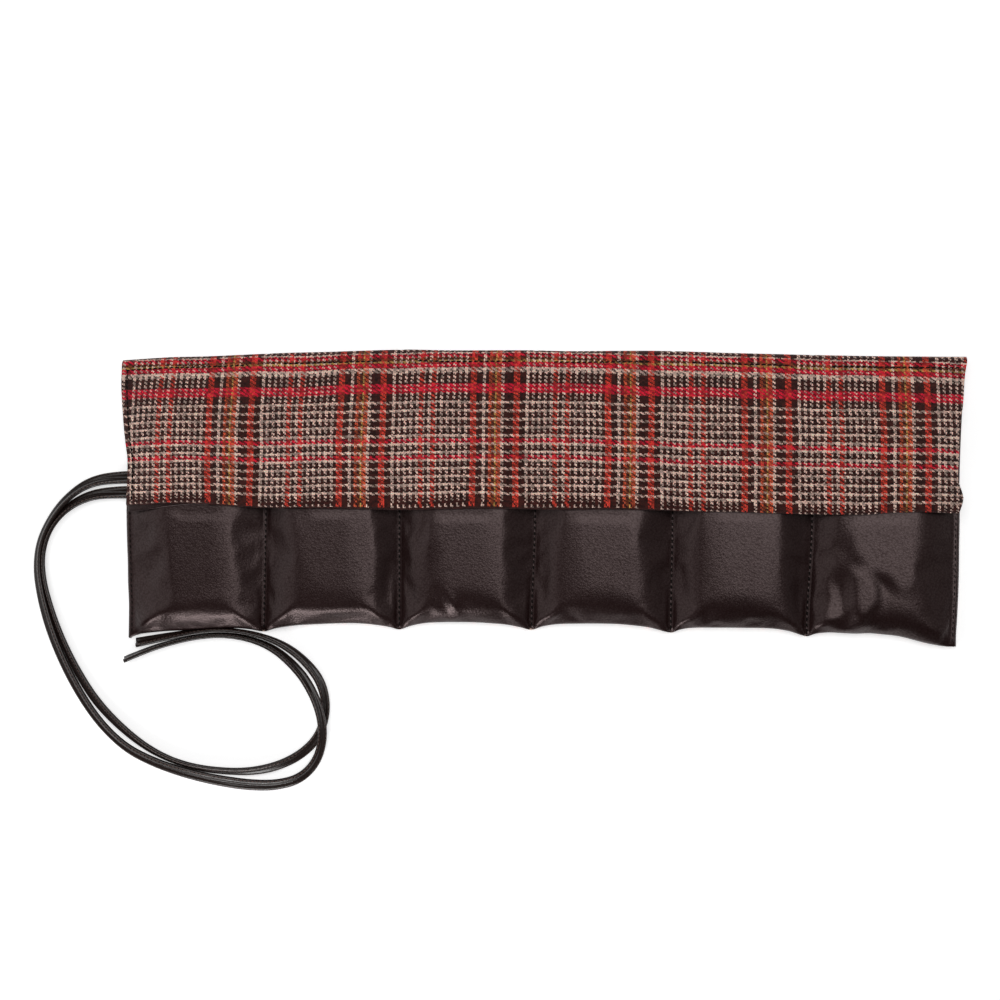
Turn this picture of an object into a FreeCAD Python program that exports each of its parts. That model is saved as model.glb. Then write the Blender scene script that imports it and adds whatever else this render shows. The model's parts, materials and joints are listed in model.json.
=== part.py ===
"""A soft roll for wristwatches: a row of sewn leather pockets on a tweed back, a tweed flap and two ties.

The roll lies open on a table. X runs along the row of pockets, Y runs from the pockets' bottoms to the
fold of the flap, and Z is up. The origin is on the table, under the middle of the roll. Lengths are in
millimetres and angles in degrees.
"""

import FreeCAD, Part
import math
import os

import Sketcher
from FreeCAD import Placement, Rotation, Vector

# Driving dimensions: the name, the value and what it measures.
SIZES = [
    ("pocket_count", 6, "pockets in the row"),
    ("pocket_width", 75.0, "from one divider seam to the next"),
    ("body_depth", 152.0, "from the bottom corners to the fold of the flap"),
    ("pocket_height", 105.0, "from the bottom corners to the pocket's mouth"),
    ("flap_drop", 88.0, "from the fold to the hem of the flap"),
    ("tweed_thick", 1.4, "outer cloth"),
    ("padding_thick", 1.0, "felt between the cloth and the lining"),
    ("lining_thick", 0.8, "inner leather"),
    ("leather_thick", 1.2, "front leather of the pockets"),
    ("fit_gap", 0.3, "room between pieces that move against each other"),
    ("crown_gap", 9.0, "inside height of a pocket where it is fullest"),
    ("mouth_gap", 8.0, "inside height of a pocket at its mouth"),
    ("sewn_gap", 0.4, "inside height of a pocket beside a seam"),
    ("bottom_draw", 4.0, "how far a pocket's bottom edge is drawn in between its corners"),
    ("turn_reach", 9.0, "length of the turn from a pocket's front to its bottom edge"),
    ("roll_limit", 66.0, "largest angle that a divider seam folds to"),
    ("shoulder_lead", 6.0, "from a pocket's mouth to the bend of the flap"),
    ("hem_turn", 8.0, "how far the tweed is turned under at the hem"),
    ("side_overhang", 3.0, "how far the flap stands out past each end of the pockets"),
    ("tongue_length", 12.0, "how far the ties' tongue is sewn into the end seam"),
    ("tongue_margin", 2.5, "tongue beyond the outer sides of the ties"),
    ("tie_width", 4.6, "width of a tie"),
    ("tie_thick", 2.4, "thickness of a tie"),
    ("tie_bevel", 0.6, "how far a tie's edges are rounded off"),
    ("cut_overrun", 1.0, "how far a cutting shape passes the faces that it cuts"),
]

# Routes of the two ties from the end seam to the cut ends, on the table, chosen by hand.
TIE_UPPER_ROUTE = [
    (-225.0, 6.8, 1.5),
    (-239.0, 6.8, 1.5),
    (-253.5, 1.4, 1.5),
    (-265.5, -10.5, 1.5),
    (-273.8, -27.0, 1.5),
    (-276.8, -45.5, 1.5),
    (-272.8, -64.8, 1.5),
    (-263.8, -86.2, 1.5),
    (-253.2, -107.8, 1.5),
    (-238.0, -128.2, 1.5),
    (-218.5, -145.0, 1.5),
    (-194.0, -155.8, 1.5),
    (-168.0, -161.0, 1.5),
    (-144.0, -162.0, 1.5),
    (-127.5, -154.5, 3.2),
    (-119.5, -140.5, 7.0),
    (-119.6, -124.0, 7.0),
    (-127.0, -106.8, 3.2),
    (-138.8, -93.2, 1.5),
    (-156.5, -85.9, 1.5),
    (-178.0, -83.0, 1.5),
    (-203.5, -87.0, 1.5),
    (-227.6, -94.0, 1.5),
]
TIE_LOWER_ROUTE = [
    (-225.0, -2.4, 1.5),
    (-237.5, -2.4, 1.5),
    (-250.6, -6.8, 1.5),
    (-260.6, -16.4, 1.5),
    (-267.8, -30.6, 1.5),
    (-270.4, -46.5, 1.5),
    (-266.6, -63.8, 1.5),
    (-257.8, -84.2, 1.5),
    (-246.3, -106.6, 1.5),
    (-231.0, -126.6, 1.5),
    (-210.5, -142.6, 1.5),
    (-186.0, -151.8, 1.5),
    (-160.5, -153.8, 1.5),
    (-138.5, -148.6, 1.5),
    (-125.2, -138.0, 1.5),
    (-114.6, -123.0, 1.5),
    (-114.6, -106.5, 1.5),
    (-125.0, -91.0, 1.5),
    (-145.0, -80.6, 1.5),
    (-170.0, -76.4, 1.5),
    (-196.0, -79.2, 1.5),
    (-221.0, -85.0, 1.5),
]
ARC_SHARE = 0.45

# A pocket's sections, as shares of its half width, and how full it is at each of them.
SECTION_SHARES = [-1.0, -0.94, -0.82, -0.62, -0.34, 0.0, 0.34, 0.62, 0.82, 0.94, 1.0]
FULLNESS_SHARES = [0.0, 0.22, 0.55, 0.85, 0.975, 1.0, 0.975, 0.85, 0.55, 0.22, 0.0]
CROWN_PLACE_SHARE = 0.6

# The turn from a pocket's front to its bottom edge: shares of the turn's reach and of the crown's height.
TURN_REACH_SHARES = [1.0, 0.56, 0.26, 0.08, 0.0]
TURN_HEIGHT_SHARES = [0.97, 0.87, 0.67, 0.37, 0.0]

X_AXIS = Vector(1, 0, 0)
Y_AXIS = Vector(0, 1, 0)
Z_AXIS = Vector(0, 0, 1)
QUARTER_TURN = 90
HALF_TURN = 180

doc = FreeCAD.newDocument("WatchRoll")
sheet = doc.addObject("Spreadsheet::Sheet", "Sizes")
nodes = []


def fill_sheet():
    """Writes every driving dimension into the sheet under its alias."""
    for row, (alias, number, meaning) in enumerate(SIZES, start=1):
        sheet.set(f"A{row}", alias)
        sheet.set(f"B{row}", str(number))
        sheet.set(f"C{row}", meaning)
        sheet.setAlias(f"B{row}", alias)
    doc.recompute()


fill_sheet()

# Lengths that follow from the driving dimensions, as expressions on the sheet.
STACK = "(Sizes.tweed_thick + Sizes.padding_thick + Sizes.lining_thick)"
FLAP_THICK = "(Sizes.tweed_thick + Sizes.lining_thick)"
BOTTOM = "(-Sizes.body_depth / 2)"
MOUTH = f"({BOTTOM} + Sizes.pocket_height)"
SEAM_RADIUS = f"({STACK} / 2)"
SEAM_CLEAR = f"({SEAM_RADIUS} + Sizes.fit_gap)"
FOLD_RADIUS = f"({STACK} + Sizes.fit_gap / 2)"
FOLD_LINE = f"(Sizes.body_depth / 2 - {FOLD_RADIUS})"
LAYER_END = f"({FOLD_LINE} - Sizes.fit_gap)"
HEM = "(Sizes.body_depth / 2 - Sizes.flap_drop)"
SHOULDER = f"({MOUTH} + Sizes.shoulder_lead)"
FLAP_START = f"(2 * {FOLD_RADIUS} - {FLAP_THICK})"
FLAP_FLOOR = f"({STACK} + Sizes.crown_gap + Sizes.leather_thick + Sizes.fit_gap)"
FLAP_TOP = f"({FLAP_FLOOR} + {FLAP_THICK})"


def fold_room(height):
    """How far a face that reaches up to a height stays from a divider seam, so that the seam can fold."""
    return f"(({height} - {SEAM_RADIUS}) * tan(Sizes.roll_limit / 2) + Sizes.fit_gap)"


POCKET_CLEAR = fold_room(f"({STACK} + Sizes.sewn_gap + Sizes.leather_thick)")
FLAP_CLEAR = fold_room(FLAP_TOP)
FOLD_CLEAR = fold_room(f"(2 * {FOLD_RADIUS})")


def value(expression):
    """The number that an expression on the sheet stands for."""
    found = sheet.evalExpression(expression)
    return float(getattr(found, "Value", found))


def bind(item, **expressions):
    """Ties an object's properties to the sheet; two underscores stand for a dot in the property's name."""
    for name, expression in expressions.items():
        item.setExpression(name.replace("__", "."), expression)
    return item


def place(item, x, y, z):
    """Ties an object's place to the sheet."""
    return bind(item, Placement__Base__x=x, Placement__Base__y=y, Placement__Base__z=z)


def keep(item, label):
    """Names an object and lists it as a sub-part."""
    item.Label = label
    nodes.append(item)
    return item


def pockets():
    """The numbers of the pockets, from the ties' end."""
    return range(1, round(value("Sizes.pocket_count")) + 1)


def seams():
    """The numbers of the divider seams; seam 1 is between pockets 1 and 2."""
    return range(1, round(value("Sizes.pocket_count")))


def seam_place(number):
    """Where a divider seam is along the roll; numbers 0 and pocket_count are the roll's two ends."""
    return f"(({number} - Sizes.pocket_count / 2) * Sizes.pocket_width)"


def left_side(number, clear, end="0"):
    """Left side of a piece of one pocket's width, clear of its seam, or past the roll's end by a length."""
    if number == min(pockets()):
        return f"({seam_place(0)} - {end})"
    return f"({seam_place(number - 1)} + {clear})"


def right_side(number, clear, end="0"):
    """Right side of a piece of one pocket's width, clear of its seam, or past the roll's end by a length."""
    if number == max(pockets()):
        return f"({seam_place(number)} + {end})"
    return f"({seam_place(number)} - {clear})"


def sewn_layer(label, number, floor, thick, trim="0"):
    """One flat layer of the back under one pocket, with its bottom edge drawn in between the seams."""
    left = f"({left_side(number, SEAM_CLEAR)} + {trim})"
    blank = doc.addObject("Part::Box", f"{label}_blank")
    bind(
        blank,
        Length=f"{right_side(number, SEAM_CLEAR)} - {left}",
        Width=f"{LAYER_END} - {BOTTOM}",
        Height=thick,
    )
    place(blank, left, BOTTOM, floor)
    scallop = doc.addObject("Part::Cylinder", f"{label}_scallop")
    draw_radius = "((Sizes.pocket_width ^ 2 / 4 + Sizes.bottom_draw ^ 2) / (2 * Sizes.bottom_draw))"
    bind(scallop, Radius=draw_radius, Height=f"{thick} + 2 * Sizes.cut_overrun")
    place(
        scallop,
        f"({seam_place(number)} - Sizes.pocket_width / 2)",
        f"{BOTTOM} + Sizes.bottom_draw - {draw_radius}",
        f"{floor} - Sizes.cut_overrun",
    )
    layer = doc.addObject("Part::Cut", label)
    layer.Base = blank
    layer.Tool = scallop
    return keep(layer, label)


def back_layers(number):
    """The cloth, felt and lining behind one pocket, flat on each other."""
    sewn_layer(f"back_cover_{number}", number, "0", "Sizes.tweed_thick")
    tongue_room = "(Sizes.tongue_length + Sizes.fit_gap)"
    sewn_layer(
        f"padding_{number}",
        number,
        "Sizes.tweed_thick",
        "Sizes.padding_thick",
        tongue_room if number == min(pockets()) else "0",
    )
    sewn_layer(f"lining_{number}", number, f"({STACK} - Sizes.lining_thick)", "Sizes.lining_thick")


def divider_seam(number):
    """The layers that a divider seam squeezes together, as the round bead that the roll folds about."""
    bead = doc.addObject("Part::Cylinder", f"divider_seam_{number}")
    bead.Placement = Placement(Vector(), Rotation(X_AXIS, -QUARTER_TURN))
    bind(bead, Radius=SEAM_RADIUS, Height=f"{LAYER_END} - {BOTTOM}")
    place(bead, seam_place(number), BOTTOM, SEAM_RADIUS)
    keep(bead, f"divider_seam_{number}")


def pocket_section(x, fullness):
    """Side view of a pocket's front at one place along it: over the crown, then down to the bottom edge."""
    floor = value(STACK)
    thick = value("Sizes.leather_thick")
    sewn = value("Sizes.sewn_gap")
    crown = sewn + (value("Sizes.crown_gap") - sewn) * fullness
    mouth = sewn + (value("Sizes.mouth_gap") - sewn) * fullness
    edge = value(BOTTOM) + value("Sizes.bottom_draw") * fullness
    mouth_y = value(MOUTH)
    crown_y = mouth_y + (value(BOTTOM) - mouth_y) * CROWN_PLACE_SHARE
    turn = value("Sizes.turn_reach")

    def skin(rise, inset):
        """Points along one side of the leather, from the mouth to the bottom edge."""
        points = [
            Vector(x, mouth_y, floor + mouth + rise),
            Vector(x, crown_y, floor + crown + rise),
        ]
        for reach, height in zip(TURN_REACH_SHARES, TURN_HEIGHT_SHARES):
            turn_y = edge + inset * (1 - reach) + turn * reach
            points.append(Vector(x, turn_y, floor + (crown + rise) * height))
        return points

    inner = skin(0, thick)
    outer = skin(thick, 0)
    over = Part.Arc(*outer[:3]).toShape()
    under = Part.Arc(*inner[2::-1]).toShape()
    turn_out = Part.makePolygon(outer[2:]).Edges
    turn_in = Part.makePolygon(inner[:1:-1]).Edges
    hem = Part.LineSegment(outer[-1], inner[-1]).toShape()
    lip = Part.LineSegment(inner[0], outer[0]).toShape()
    return Part.Wire([over, *turn_out, hem, *turn_in, under, lip])


def pocket(number):
    """The leather front of one pocket, swelling between its seams and open at the mouth."""
    left = value(left_side(number, POCKET_CLEAR))
    right = value(right_side(number, POCKET_CLEAR))
    middle = (left + right) / 2
    half = (right - left) / 2
    sections = [
        pocket_section(middle + half * place_share, fullness)
        for place_share, fullness in zip(SECTION_SHARES, FULLNESS_SHARES)
    ]
    front = doc.addObject("Part::Feature", f"pocket_{number}")
    front.Shape = Part.makeLoft(sections, True, True)
    keep(front, f"pocket_{number}")


def flap_layer(label, left, right, rise, thick, edge="0", turn=None):
    """A layer of the flap: flat over the pockets from its edge to the bend, then down to the fold.

    The edge is measured from the hem. A layer with a turn is turned under there, to the flap's underside.
    """
    body = doc.addObject("PartDesign::Body", label)
    sketch = body.newObject("Sketcher::SketchObject", f"{label}_profile")
    plane = next(item for item in body.Origin.OriginFeatures if item.Role == "YZ_Plane")
    sketch.AttachmentSupport = [(plane, "")]
    sketch.MapMode = "FlatFace"
    bind(sketch, AttachmentOffset__Base__x=HEM, AttachmentOffset__Base__z=left)
    bend = f"({SHOULDER} - {HEM})"
    end = f"({LAYER_END} - {HEM})"
    corners = [
        (bend, f"{FLAP_FLOOR} + {rise}"),
        (end, f"{FLAP_START} + {rise}"),
        (end, f"{FLAP_START} + {rise} + {thick}"),
        (bend, f"{FLAP_FLOOR} + {rise} + {thick}"),
        (edge, f"{FLAP_FLOOR} + {rise} + {thick}"),
    ]
    if turn:
        corners += [(edge, FLAP_FLOOR), (turn, FLAP_FLOOR), (turn, f"{FLAP_FLOOR} + {rise}")]
    else:
        corners.append((edge, f"{FLAP_FLOOR} + {rise}"))
    draw_outline(sketch, corners)
    pad = body.newObject("PartDesign::Pad", f"{label}_pad")
    pad.Profile = sketch
    bind(pad, Length=f"{right} - {left}")
    return keep(body, label)


def draw_outline(sketch, corners):
    """Draws straight sides between corners, each corner tied to the sheet along and across the sketch."""
    points = [Vector(value(along), value(across), 0) for along, across in corners]
    for start, finish in zip(points, points[1:] + points[:1]):
        sketch.addGeometry(Part.LineSegment(start, finish), False)
    last = len(corners) - 1
    for side, (along, across) in enumerate(corners):
        before = side - 1 if side else last
        sketch.addConstraint(Sketcher.Constraint("Coincident", before, 2, side, 1))
        tie_down(sketch, "DistanceX", side, points[side].x, along)
        tie_down(sketch, "DistanceY", side, points[side].y, across)


def tie_down(sketch, kind, side, number, expression):
    """Holds the start of one side at a distance from the sketch's origin that the sheet gives."""
    place_of = sketch.addConstraint(Sketcher.Constraint(kind, side, 1, number))
    sketch.setExpression(f"Constraints[{place_of}]", expression)


def flap_panel(number):
    """The lining and the tweed of the flap over one pocket."""
    left = left_side(number, FLAP_CLEAR, "Sizes.side_overhang")
    right = right_side(number, FLAP_CLEAR, "Sizes.side_overhang")
    flap_layer(f"flap_lining_{number}", left, right, "0", "Sizes.lining_thick", edge="Sizes.hem_turn")
    cover = ("Sizes.lining_thick", "Sizes.tweed_thick")
    flap_layer(f"flap_cover_{number}", left, right, *cover, turn="Sizes.hem_turn")


def flap_crease(number):
    """The strip of the flap over a divider seam, which crumples when the roll is rolled up."""
    left = f"({seam_place(number)} - {FLAP_CLEAR} + Sizes.fit_gap)"
    right = f"({seam_place(number)} + {FLAP_CLEAR} - Sizes.fit_gap)"
    flap_layer(f"flap_crease_{number}", left, right, "0", FLAP_THICK)


def top_fold(number):
    """The tweed over one pocket where it turns from the back to the flap: half a tube about the fold line."""
    label = f"top_fold_{number}"
    left = left_side(number, FOLD_CLEAR, "Sizes.side_overhang")
    right = right_side(number, FOLD_CLEAR, "Sizes.side_overhang")
    halves = []
    for part_of, radius in (("outside", FOLD_RADIUS), ("inside", f"({FOLD_RADIUS} - Sizes.tweed_thick)")):
        half = doc.addObject("Part::Cylinder", f"{label}_{part_of}")
        half.Angle = HALF_TURN
        half.Placement = Placement(Vector(), Rotation(Y_AXIS, QUARTER_TURN))
        bind(half, Radius=radius, Height=f"{right} - {left}")
        place(half, left, FOLD_LINE, FOLD_RADIUS)
        halves.append(half)
    turn = doc.addObject("Part::Cut", label)
    turn.Base, turn.Tool = halves
    keep(turn, label)


def tie_path(route):
    """A tie's centre line, straight runs joined by arcs as large as the runs allow, and the arcs' radii."""
    points = [Vector(*point) for point in route]
    edges = []
    radii = []
    reached = points[0]
    for before, corner, after in zip(points, points[1:], points[2:]):
        back = (before - corner).normalize()
        ahead = (after - corner).normalize()
        half_turn = (math.pi - back.getAngle(ahead)) / 2
        tangent = ARC_SHARE * min(corner.distanceToPoint(before), corner.distanceToPoint(after))
        radius = tangent / math.tan(half_turn)
        inward = (back + ahead).normalize()
        nearest = corner + inward * (radius / math.cos(half_turn) - radius)
        start = corner + back * tangent
        finish = corner + ahead * tangent
        edges.append(Part.LineSegment(reached, start).toShape())
        edges.append(Part.Arc(start, nearest, finish).toShape())
        radii.append(radius)
        reached = finish
    edges.append(Part.LineSegment(reached, points[-1]).toShape())
    return Part.Wire(edges), radii


def tie_section(start):
    """A tie's cross section where it leaves the end seam: a flat strap with its edges rounded off."""
    half = value("Sizes.tie_width") / 2
    rise = value("Sizes.tie_thick") / 2
    bevel = value("Sizes.tie_bevel")
    corners = [(half, rise - bevel), (half - bevel, rise), (bevel - half, rise), (-half, rise - bevel)]
    corners += [(-across, -up) for across, up in corners]
    ring = [start + Vector(0, across, up) for across, up in corners]
    return Part.makePolygon(ring + ring[:1])


def tie(label, route):
    """A leather tie along its route on the table, from the end seam to its cut end."""
    path, radii = tie_path(route)
    ring = tie_section(Vector(*route[0]))
    sweep = Part.BRepOffsetAPI.MakePipeShell(path)
    sweep.setBiNormalMode(Z_AXIS)
    sweep.add(ring)
    sweep.build()
    sweep.makeSolid()
    solid = sweep.shape()
    expected = Part.Face(ring).Area * path.Length
    print(f"{label}: {path.Length:.1f} long, volume {solid.Volume / expected:.4f} of section times length")
    print(f"{label}: radii", " ".join(f"{radius:.0f}" for radius in radii))
    strap = doc.addObject("Part::Feature", label)
    strap.Shape = solid
    keep(strap, label)


def tie_tongue():
    """The leather tongue that both ties are cut from, sewn between the cloth and the lining."""
    tongue = doc.addObject("Part::Box", "tie_tongue")
    upper = max(TIE_UPPER_ROUTE[0][1], TIE_LOWER_ROUTE[0][1])
    lower = min(TIE_UPPER_ROUTE[0][1], TIE_LOWER_ROUTE[0][1])
    margin = "(Sizes.tie_width / 2 + Sizes.tongue_margin)"
    width = f"{upper - lower} + 2 * {margin}"
    bind(tongue, Length="Sizes.tongue_length", Width=width, Height="Sizes.padding_thick")
    place(tongue, seam_place(0), f"{lower} - {margin}", "Sizes.tweed_thick")
    keep(tongue, "tie_tongue")


def build():
    """Makes every sub-part."""
    for number in pockets():
        back_layers(number)
        pocket(number)
        top_fold(number)
        flap_panel(number)
    for number in seams():
        divider_seam(number)
        flap_crease(number)
    tie_tongue()
    tie("tie_upper", TIE_UPPER_ROUTE)
    tie("tie_lower", TIE_LOWER_ROUTE)
    doc.recompute()


def check():
    """Stops at an object that failed to build or a sub-part that isn't a sound solid."""
    for item in doc.Objects:
        if {"Invalid", "Error"} & set(item.State):
            raise RuntimeError(f"{item.Label} failed: {item.State}")
    for item in nodes:
        if item.Shape.isNull() or not item.Shape.isValid() or not item.Shape.Solids:
            raise RuntimeError(f"{item.Label} isn't a sound solid")


def write():
    """Writes each sub-part to its own file."""
    os.makedirs("parts", exist_ok=True)
    for item in nodes:
        item.Shape.exportStep(os.path.join("parts", f"{item.Label}.step"))
    print(len(nodes), "sub-parts")


build()
check()
write()
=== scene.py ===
"""Looks of a soft roll for wristwatches: tweed, leather, felt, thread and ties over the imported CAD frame."""

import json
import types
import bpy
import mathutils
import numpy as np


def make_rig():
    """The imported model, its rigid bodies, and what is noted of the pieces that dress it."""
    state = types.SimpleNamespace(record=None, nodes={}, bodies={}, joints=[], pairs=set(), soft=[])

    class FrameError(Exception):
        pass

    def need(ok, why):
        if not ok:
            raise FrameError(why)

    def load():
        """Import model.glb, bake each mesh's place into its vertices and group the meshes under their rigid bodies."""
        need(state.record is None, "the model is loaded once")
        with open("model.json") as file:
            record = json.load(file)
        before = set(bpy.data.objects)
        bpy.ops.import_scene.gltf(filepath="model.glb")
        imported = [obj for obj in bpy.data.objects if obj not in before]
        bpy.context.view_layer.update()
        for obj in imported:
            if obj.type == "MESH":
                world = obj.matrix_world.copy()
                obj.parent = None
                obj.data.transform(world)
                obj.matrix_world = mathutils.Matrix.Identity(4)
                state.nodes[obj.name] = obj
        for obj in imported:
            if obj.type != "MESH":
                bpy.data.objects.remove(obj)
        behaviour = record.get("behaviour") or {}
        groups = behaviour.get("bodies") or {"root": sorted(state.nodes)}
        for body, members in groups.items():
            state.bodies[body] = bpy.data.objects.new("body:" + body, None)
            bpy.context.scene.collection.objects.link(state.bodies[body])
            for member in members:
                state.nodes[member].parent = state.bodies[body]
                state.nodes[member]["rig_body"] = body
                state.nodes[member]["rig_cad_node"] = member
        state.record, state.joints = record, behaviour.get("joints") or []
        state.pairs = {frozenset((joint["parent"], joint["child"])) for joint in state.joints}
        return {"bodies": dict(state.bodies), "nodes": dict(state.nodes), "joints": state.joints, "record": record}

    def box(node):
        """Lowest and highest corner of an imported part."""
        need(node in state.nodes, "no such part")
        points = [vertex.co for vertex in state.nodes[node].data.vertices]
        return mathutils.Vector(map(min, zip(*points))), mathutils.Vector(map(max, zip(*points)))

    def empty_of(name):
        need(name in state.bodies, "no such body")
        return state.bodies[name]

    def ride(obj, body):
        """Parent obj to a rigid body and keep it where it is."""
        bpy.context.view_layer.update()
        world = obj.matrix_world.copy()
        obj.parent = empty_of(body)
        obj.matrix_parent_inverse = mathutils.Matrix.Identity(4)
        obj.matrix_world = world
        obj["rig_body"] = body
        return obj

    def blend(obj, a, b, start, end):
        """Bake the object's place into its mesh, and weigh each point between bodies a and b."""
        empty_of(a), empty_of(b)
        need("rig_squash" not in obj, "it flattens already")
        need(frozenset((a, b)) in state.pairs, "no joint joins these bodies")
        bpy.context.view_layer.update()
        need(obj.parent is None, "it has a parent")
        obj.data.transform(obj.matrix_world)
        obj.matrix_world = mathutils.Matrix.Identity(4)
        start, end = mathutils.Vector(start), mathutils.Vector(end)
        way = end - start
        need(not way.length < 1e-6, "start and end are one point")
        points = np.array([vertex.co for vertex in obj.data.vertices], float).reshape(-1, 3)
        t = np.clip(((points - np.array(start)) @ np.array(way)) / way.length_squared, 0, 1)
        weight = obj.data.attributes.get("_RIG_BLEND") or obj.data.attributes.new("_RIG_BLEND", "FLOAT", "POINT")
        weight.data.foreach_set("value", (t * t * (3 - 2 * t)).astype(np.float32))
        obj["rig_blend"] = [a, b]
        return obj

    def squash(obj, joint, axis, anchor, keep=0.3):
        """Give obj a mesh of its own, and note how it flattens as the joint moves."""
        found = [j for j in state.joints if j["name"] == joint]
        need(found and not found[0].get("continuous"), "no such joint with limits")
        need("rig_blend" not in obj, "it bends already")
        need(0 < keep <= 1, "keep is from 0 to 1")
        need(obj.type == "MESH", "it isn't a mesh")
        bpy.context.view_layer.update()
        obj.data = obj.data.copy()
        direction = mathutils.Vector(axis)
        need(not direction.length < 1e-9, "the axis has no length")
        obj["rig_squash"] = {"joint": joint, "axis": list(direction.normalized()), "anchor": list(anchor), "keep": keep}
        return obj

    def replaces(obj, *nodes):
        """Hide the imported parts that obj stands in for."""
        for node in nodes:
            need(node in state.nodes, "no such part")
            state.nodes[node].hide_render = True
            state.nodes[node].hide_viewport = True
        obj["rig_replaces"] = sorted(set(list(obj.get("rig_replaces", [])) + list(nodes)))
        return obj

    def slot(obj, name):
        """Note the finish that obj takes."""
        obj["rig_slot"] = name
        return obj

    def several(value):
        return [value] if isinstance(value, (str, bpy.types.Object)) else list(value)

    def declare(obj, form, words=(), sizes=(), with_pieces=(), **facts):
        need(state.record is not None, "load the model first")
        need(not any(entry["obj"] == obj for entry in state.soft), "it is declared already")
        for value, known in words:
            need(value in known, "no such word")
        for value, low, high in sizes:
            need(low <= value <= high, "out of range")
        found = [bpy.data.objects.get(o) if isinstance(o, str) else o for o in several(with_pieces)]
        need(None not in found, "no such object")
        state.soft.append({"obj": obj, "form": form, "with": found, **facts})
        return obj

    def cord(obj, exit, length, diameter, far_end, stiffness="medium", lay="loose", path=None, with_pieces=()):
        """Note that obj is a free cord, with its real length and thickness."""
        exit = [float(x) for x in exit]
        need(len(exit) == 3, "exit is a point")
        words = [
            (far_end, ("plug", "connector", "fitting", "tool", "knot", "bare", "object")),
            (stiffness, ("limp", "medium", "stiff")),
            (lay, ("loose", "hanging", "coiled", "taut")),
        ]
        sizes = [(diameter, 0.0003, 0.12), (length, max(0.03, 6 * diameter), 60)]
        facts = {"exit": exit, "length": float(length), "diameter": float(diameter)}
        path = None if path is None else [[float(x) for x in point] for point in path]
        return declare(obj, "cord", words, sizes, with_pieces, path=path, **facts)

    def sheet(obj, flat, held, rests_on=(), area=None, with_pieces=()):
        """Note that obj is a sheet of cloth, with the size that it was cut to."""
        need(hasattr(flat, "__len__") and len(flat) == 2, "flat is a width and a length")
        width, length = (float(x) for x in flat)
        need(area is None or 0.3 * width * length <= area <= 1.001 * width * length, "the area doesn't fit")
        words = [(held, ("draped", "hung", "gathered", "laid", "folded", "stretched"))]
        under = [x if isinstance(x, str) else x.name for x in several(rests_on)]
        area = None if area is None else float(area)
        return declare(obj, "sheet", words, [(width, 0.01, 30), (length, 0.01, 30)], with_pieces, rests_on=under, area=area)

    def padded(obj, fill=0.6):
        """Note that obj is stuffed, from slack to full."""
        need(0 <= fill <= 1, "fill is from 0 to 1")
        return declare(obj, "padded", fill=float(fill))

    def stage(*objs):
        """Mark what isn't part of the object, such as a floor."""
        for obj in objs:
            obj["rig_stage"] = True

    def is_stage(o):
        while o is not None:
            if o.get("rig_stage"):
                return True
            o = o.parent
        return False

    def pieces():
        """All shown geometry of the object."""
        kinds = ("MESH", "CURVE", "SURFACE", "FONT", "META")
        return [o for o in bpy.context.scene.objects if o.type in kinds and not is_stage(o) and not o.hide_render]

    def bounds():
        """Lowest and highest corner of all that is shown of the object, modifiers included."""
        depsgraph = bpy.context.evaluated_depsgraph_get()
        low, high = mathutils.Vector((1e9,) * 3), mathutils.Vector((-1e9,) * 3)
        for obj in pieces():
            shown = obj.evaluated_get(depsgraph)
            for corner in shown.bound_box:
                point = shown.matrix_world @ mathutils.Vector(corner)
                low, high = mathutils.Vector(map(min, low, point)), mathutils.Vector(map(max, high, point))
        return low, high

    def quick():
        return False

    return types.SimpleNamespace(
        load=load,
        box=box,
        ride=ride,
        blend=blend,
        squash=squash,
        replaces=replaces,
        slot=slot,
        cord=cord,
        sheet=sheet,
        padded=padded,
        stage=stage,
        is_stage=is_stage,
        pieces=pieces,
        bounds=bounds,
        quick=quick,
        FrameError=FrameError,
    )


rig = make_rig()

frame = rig.load()

import functools
import itertools
import json
import math

import bmesh
import bpy
import numpy as np
from bpy.props import FloatProperty, FloatVectorProperty, PointerProperty
from mathutils import Matrix, Vector, noise

bl_info = {
    "name": "Watch roll",
    "version": (1, 0, 0),
    "blender": (4, 5, 0),
    "location": "View3D > Sidebar > Watch roll",
    "description": "Builds the soft pieces, the thread, the ties and the stage of a watch roll",
    "category": "Object",
}

MM = 0.001
CAD_BOX = [list(corner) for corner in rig.bounds()]

# Places that the frame gives: the roll's two ends, the divider seams between them, and the heights of the layers.
SEAM_COUNT = sum(name.startswith("divider_seam_") for name in frame["nodes"])
POCKETS = range(1, SEAM_COUNT + 2)
SEAMS = range(1, SEAM_COUNT + 1)
LEFT_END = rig.box("lining_1")[0].x
RIGHT_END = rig.box(f"lining_{SEAM_COUNT + 1}")[1].x
LINES = [LEFT_END] + [sum(c.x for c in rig.box(f"divider_seam_{k}")) / 2 for k in SEAMS] + [RIGHT_END]
SEAM_AXIS = sum(c.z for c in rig.box("divider_seam_1")) / 2
CLOTH_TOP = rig.box("back_cover_1")[1].z
FELT_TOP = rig.box("padding_1")[1].z
LINING_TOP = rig.box("lining_1")[1].z
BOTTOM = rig.box("divider_seam_1")[0].y
LAYER_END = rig.box("divider_seam_1")[1].y
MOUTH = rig.box("pocket_1")[1].y
POCKET_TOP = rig.box("pocket_1")[1].z
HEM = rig.box("flap_cover_1")[0].y
FLAP_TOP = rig.box("flap_cover_1")[1].z
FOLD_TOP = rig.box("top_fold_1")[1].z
FOLD_RADIUS = FOLD_TOP / 2
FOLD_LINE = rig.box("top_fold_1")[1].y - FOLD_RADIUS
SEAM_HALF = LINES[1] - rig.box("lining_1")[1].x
ROLL_LEAN = math.tan(math.radians(33.5))
GAP = 0.1 * MM  # between faces that would touch
UP = Vector((0, 0, 1))

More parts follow.
